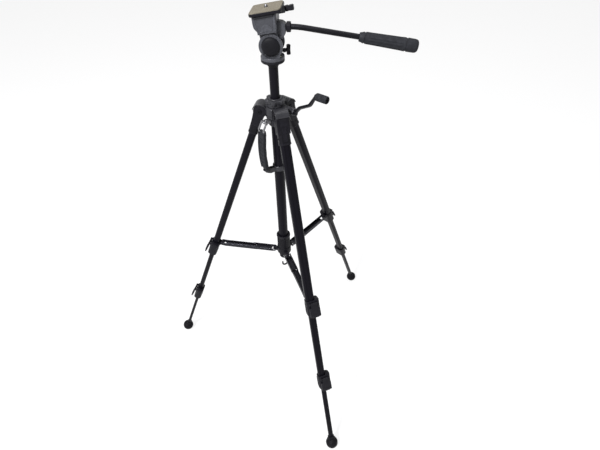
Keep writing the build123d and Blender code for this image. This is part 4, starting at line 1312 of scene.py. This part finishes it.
SOCKET = socket_frame()


NUT_LONGER = 2.0        # how far the nut reaches past the CAD's, towards the socket


def lock_nut():
    """Eight-sided nut with a washer face, hollow at its outer end."""
    low, high = span("handle_nut", SOCKET)
    x0, x1, reach = low[0] - NUT_LONGER, high[0], 10.6

    def eight(radius, x):
        points = []
        for k in range(48):
            angle = 2 * math.pi * k / 48
            local = math.degrees(angle) % 45 - 22.5
            flat = radius * math.cos(math.pi / 8) / math.cos(math.radians(abs(22.5 - abs(local))))
            points.append((x, flat * math.cos(angle), flat * math.sin(angle)))
        return points

    rings = [eight(reach - 1.2, x0), eight(reach, x0 + 0.8), eight(reach, x1 - 1.0), eight(reach - 1.0, x1)]
    for radius, x in ((7.4, x1), (6.8, x1 - 0.9), (5.85, x1 - 0.9), (5.85, x0)):
        around = np.linspace(0, 2 * math.pi, 48, endpoint=False)
        rings.append([(x, radius * math.cos(a), radius * math.sin(a)) for a in around])
    return loft(rings, loop=True)


ROD_RADIUS = 5.7
HANDLE_BEND = (20.0, 8.5)       # straight part, and how far the rest slopes down in degrees


def handle_rod():
    """Bent rod with an easy curve at its elbow."""
    low, high = span("handle_arm", SOCKET)
    bend, slope = HANDLE_BEND
    down = math.radians(slope)
    reach = math.hypot(high[0] - bend, low[2] + ROD_RADIUS)
    path = [(-2.2, 0, 0), (bend - 14, 0, 0)]
    for k in range(13):
        t = k / 12
        a, b = Vector((bend - 14, 0, 0)), Vector((bend, 0, 0))
        c = Vector((bend + 14 * math.cos(down), 0, -14 * math.sin(down)))
        path.append(tuple(a * (1 - t) ** 2 + b * 2 * t * (1 - t) + c * t * t))
    for length in (30, 60, 90, 120, reach):
        path.append((bend + length * math.cos(down), 0, -length * math.sin(down)))
    thread = [(0, -14), (3.2, -14), (3.9, -13.4), (3.9, -2), (0, -2)]
    return tube_along(path, ROD_RADIUS, 32) + lathe(thread, 28).at(ALONG_X)


def grip_frame():
    bend, slope = HANDLE_BEND
    return SOCKET @ moved(bend * MM) @ turned(slope, "Y")


GRIP = grip_frame()


def ribbed_grip():
    """Soft grip: ferrule, long flutes on a swelling body, a groove near the end and a rounded cap."""
    low, high = span("handle_grip", GRIP)
    start, end = low[0], high[0]

    def flute(depth):
        return lambda a: -depth * (0.5 - 0.5 * math.cos(12 * a)) ** 2

    stations = [
        (start, 6.6, 0), (start, 8.4, 0), (start + 0.8, 9.0, 0), (start + 6.2, 10.3, 0),
        (start + 7.2, 11.0, 0)
    ]
    stations += [
        (start + 9.8, 11.2, 0), (start + 10.6, 10.4, 0), (start + 12.0, 10.4, 0), (start + 12.8, 11.6, 0)
    ]
    stations += [
        (start + 18, 11.9, 0), (start + 21, 12.0, 1.0), (end - 36, 13.4, 1.0), (end - 33, 13.5, 0),
        (end - 27, 13.7, 0)
    ]
    stations += [
        (end - 26, 12.7, 0), (end - 23.5, 12.7, 0), (end - 22.5, 13.8, 0), (end - 8, 13.5, 0),
        (end - 4.5, 13.0, 0)
    ]
    stations += [
        (end - 1.6, 11.4, 0), (end - 0.3, 9.0, 0), (end, 6.5, 0), (end - 0.5, 4.0, 0),
        (end - 0.6, 0.001, 0)
    ]
    rings = []
    for x, radius, share in stations:
        wave = flute(share) if share else None
        rings.append([(x, y, z) for y, z, _ in round_ring(radius, 0, 96, wave)])
    return loft(rings)


def plate_rim():
    """Quick-release plate: rolled rim that rises round the cork, rounded corners and a keel underneath."""
    low, high = span("qr_plate", PLATFORM)
    top = span("cork_pad", PLATFORM)[0][2]
    x, width, depth = (low[0] + high[0]) / 2, high[0] - low[0], high[1] - low[1]
    base = top - 5.2

    def ring(z, grow, corner=8.0):
        return rect_ring(width + 2 * grow, depth + 2 * grow, corner + grow, z, x=x)

    stations = [(base, -2.2), (base + 0.6, -1.0), (base + 1.6, -0.15), (base + 2.2, 0)]
    stations += [(top + 0.5, 0), (top + 1.0, -0.3), (top + 1.1, -0.8), (top, -1.25)]
    shape = loft([ring(z, grow) for z, grow in stations])
    keel = [rect_ring(41, 43, 2.0, z, x=1.0, y=-2.0) for z in (base - 4.4, base + 0.5)]
    return shape + soft(loft(keel), 0.6, 2)


def cork_sheet():
    """Cork pad with rounded corners, worn edges and a shallow slot for the screw."""
    low, high = span("cork_pad", PLATFORM)
    x, width, depth = (low[0] + high[0]) / 2, high[0] - low[0], high[1] - low[1]
    top = high[2]

    def ring(z, grow):
        return rect_ring(width + 2 * grow, depth + 2 * grow, 7.0 + grow, z, x=x)

    shape = loft([ring(low[2], 0), ring(top - 1.0, 0), ring(top - 0.35, -0.25), ring(top, -0.9)])
    hole = lathe(above(top, [(0, -1.6), (4.6, -1.6), (4.6, 2), (0, 2)]), 40).at(moved(x))
    return carved(shape, [hole])


SCREW_RADIUS, SCREW_PITCH = 3.175, 1.27     # 1/4 inch across, 20 turns to the inch


def stud():
    """Camera screw: threaded end, shank, and a slotted head under the plate."""
    low, high = span("camera_screw", PLATFORM)
    x, top, radius = (low[0] + high[0]) / 2, high[2], SCREW_RADIUS
    face = top - 4.5
    profile = [
        (0, low[2]), (5.2, low[2]), (5.8, low[2] + 0.6), (5.8, low[2] + 5.0), (2.6, low[2] + 5.2),
        (2.6, face - 1.4)
    ]
    z = face - 1.4
    while z < top - 1.4:
        profile += above(z, [
            (radius - 0.05, 0.2), (radius - 0.05, 0.45), (radius - 0.6, 0.85), (radius - 0.6, 1.0)
        ])
        z += SCREW_PITCH
    profile += [(radius - 0.3, top - 0.9), (radius - 0.9, top), (0, top)]
    return lathe(profile, 40).at(moved(x))


LEVER_PIN = (42.6, 20.0)        # in the platform's X and Y


def release_lever():
    """Cam lever on its pin: round boss, neck and a ribbed, dished thumb pad."""
    low, high = span("qr_lever", PLATFORM)
    (pin_x, y), z0, z1, x1 = LEVER_PIN, low[2], high[2], high[0]
    cam = [
        (0, z0), (4.2, z0), (4.6, z0 + 0.5), (4.6, z1 - 0.6), (4.0, z1), (2.2, z1), (2.0, z1 - 0.5),
        (0, z1 - 0.5)
    ]
    shape = lathe(cam, 40).at(moved(pin_x, y))
    arm = [
        (pin_x, z0 + 0.8), (50, z0), (x1 - 0.8, z0), (x1, z0 + 1.0), (x1, z1 - 1.2), (x1 - 1, z1), (49, z1),
        (46, z1 - 2.2), (pin_x, z1 - 2.2)
    ]
    shape += soft(prism(arm, y - 3.9, y + 3.9), 0.8, 3)
    for k in range(4):
        x = x1 - 1.9 - 1.9 * k
        shape += soft(slab(x - 0.45, x + 0.45, y - 3.6, y + 3.6, z1 - 0.2, z1 + 0.0), 0.1, 1)
        shape += soft(slab(x - 0.45, x + 0.45, y - 4.0, y - 3.7, z0 + 1.5, z1 - 1.5), 0.1, 1)
    return shape


def build_head():
    piece("neck", neck(), HEAD, "column", "cover_plastic", ["pan_base"])
    piece("turntable", turntable(), HEAD, "pan", "head_plastic", ["pan_housing"])
    piece("vial_cup", vial_cup(), HEAD, "pan", "head_plastic")
    piece("vial_dome", vial_dome(), HEAD, "pan", "vial", ["spirit_level"])
    piece("bubble", bubble(), HEAD, "pan", "vial", look=INK_AND_SHADE)
    screw, at = pan_screw()
    piece("pan_screw", screw, at, "pan_lock", "clamp_plastic", ["pan_knob"])
    piece("platform", platform_body(), PLATFORM, "tilt", "head_plastic", ["tilt_platform"])
    piece("detents", detents(), HEAD, "pan", "head_plastic", look=INK_AND_SHADE)
    # painted shade: dark sheets stand in for shaded openings in the platform's sides
    piece("painted_slot_shade", slot_shade_sheets(), PLATFORM, "tilt", "head_plastic", look=INK_AND_SHADE)
    piece("caps", cover_caps(), PLATFORM, "tilt", "cover_plastic", ["tilt_covers"])
    piece("nut", lock_nut(), SOCKET, "handle_nut", "clamp_plastic", ["handle_nut"])
    piece("rod", handle_rod(), SOCKET, "handle", "steel_dark", ["handle_arm"])
    piece("grip", ribbed_grip(), GRIP, "handle", "grip_plastic", ["handle_grip"])
    piece("plate", plate_rim(), PLATFORM, "qr_plate", "clamp_plastic", ["qr_plate"])
    piece("cork_sheet", cork_sheet(), PLATFORM, "qr_plate", "cork", ["cork_pad"])
    piece("stud", stud(), PLATFORM, "camera_screw", "steel_bright", ["camera_screw"])
    piece("release", release_lever(), PLATFORM, "qr_lever", "lever_plastic", ["qr_lever"])


# ---------------------------------------------------------------- studio
FLOOR_HALF, FLOOR_GLOW = 12.0, 0.78     # metres from the middle to an edge, and its own light
SKY_FALL = (0.15, 0.5, 0.95, 0.42)      # directions' Z from and to, and the light from there
LENS, SENSOR, CLIP = 26.22, 36.0, (0.05, 60.0)
CAMERA_AT = (-0.26325, -0.91044, 1.42721)


def floor_sheet():
    """Pale floor, large enough to run past the view on all sides."""
    look = Look("studio_floor")
    tone = look.mix(look.noise(3, 2), (0.17, 0.17, 0.172, 1), (0.2, 0.2, 0.202, 1))
    look.finish(tone, look.ramp(look.noise(5, 2), 0, 1, 0.75, 0.85), specular=0.2)
    look.shader.inputs["Emission Color"].default_value = (1, 1, 1, 1)
    look.shader.inputs["Emission Strength"].default_value = FLOOR_GLOW
    bm = bmesh.new()
    bmesh.ops.create_grid(bm, x_segments=24, y_segments=24, size=FLOOR_HALF)
    mesh = bpy.data.meshes.new("floor")
    bm.to_mesh(mesh)
    bm.free()
    mesh.materials.append(look.material)
    floor = bpy.data.objects.new("floor", mesh)
    bpy.context.scene.collection.objects.link(floor)


def lamp(name, place_at, aim, size, power, colour=(1, 1, 1)):
    light = bpy.data.lights.new(name, "AREA")
    light.shape, light.size, light.energy, light.color = "DISK", size, power, colour
    made = bpy.data.objects.new(name, light)
    bpy.context.scene.collection.objects.link(made)
    towards = Vector(aim) - Vector(place_at)
    made.matrix_world = Matrix.Translation(place_at) @ towards.to_track_quat("-Z", "Y").to_matrix().to_4x4()


def build_studio():
    floor_sheet()
    world = bpy.data.worlds.new("studio")
    world.use_nodes = True
    tree = world.node_tree
    backdrop = tree.nodes["Background"]
    backdrop.inputs["Color"].default_value = (1.0, 1.0, 1.0, 1)
    direction = tree.nodes.new("ShaderNodeTexCoord")
    split = tree.nodes.new("ShaderNodeSeparateXYZ")
    fall = tree.nodes.new("ShaderNodeMapRange")
    for socket, value in zip(("From Min", "From Max", "To Min", "To Max"), SKY_FALL):
        fall.inputs[socket].default_value = value
    tree.links.new(direction.outputs["Generated"], split.inputs["Vector"])
    tree.links.new(split.outputs["Z"], fall.inputs["Value"])
    tree.links.new(fall.outputs["Result"], backdrop.inputs["Strength"])
    bpy.context.scene.world = world
    lamp("overhead", (0.3, 0.4, 4.2), (0, 0, 0.3), 3.0, 80)
    lamp("key", (-2.2, -1.6, 3.4), (0, 0, 0.8), 0.9, 260)
    bpy.context.scene.view_settings.view_transform = "Standard"


def set_camera():
    """Camera at the photograph's viewpoint."""
    data = bpy.data.cameras.new("camera")
    data.lens, data.sensor_width = LENS, SENSOR
    data.clip_start, data.clip_end = CLIP
    camera = bpy.data.objects.new("camera", data)
    bpy.context.scene.collection.objects.link(camera)
    ahead = Vector((0.24511, 0.70667, -0.66375))
    across = Vector((0.93890, -0.34365, -0.01916))
    above = Vector((0.24163, 0.61845, 0.74774))
    matrix = Matrix((across, above, -ahead)).transposed().to_4x4()
    matrix.translation = CAMERA_AT
    camera.matrix_world = matrix
    bpy.context.scene.camera = camera


for leg in LEGS:
    build_leg(leg)
build_spreader()
build_shoulder()
build_head()
build_studio()
set_camera()
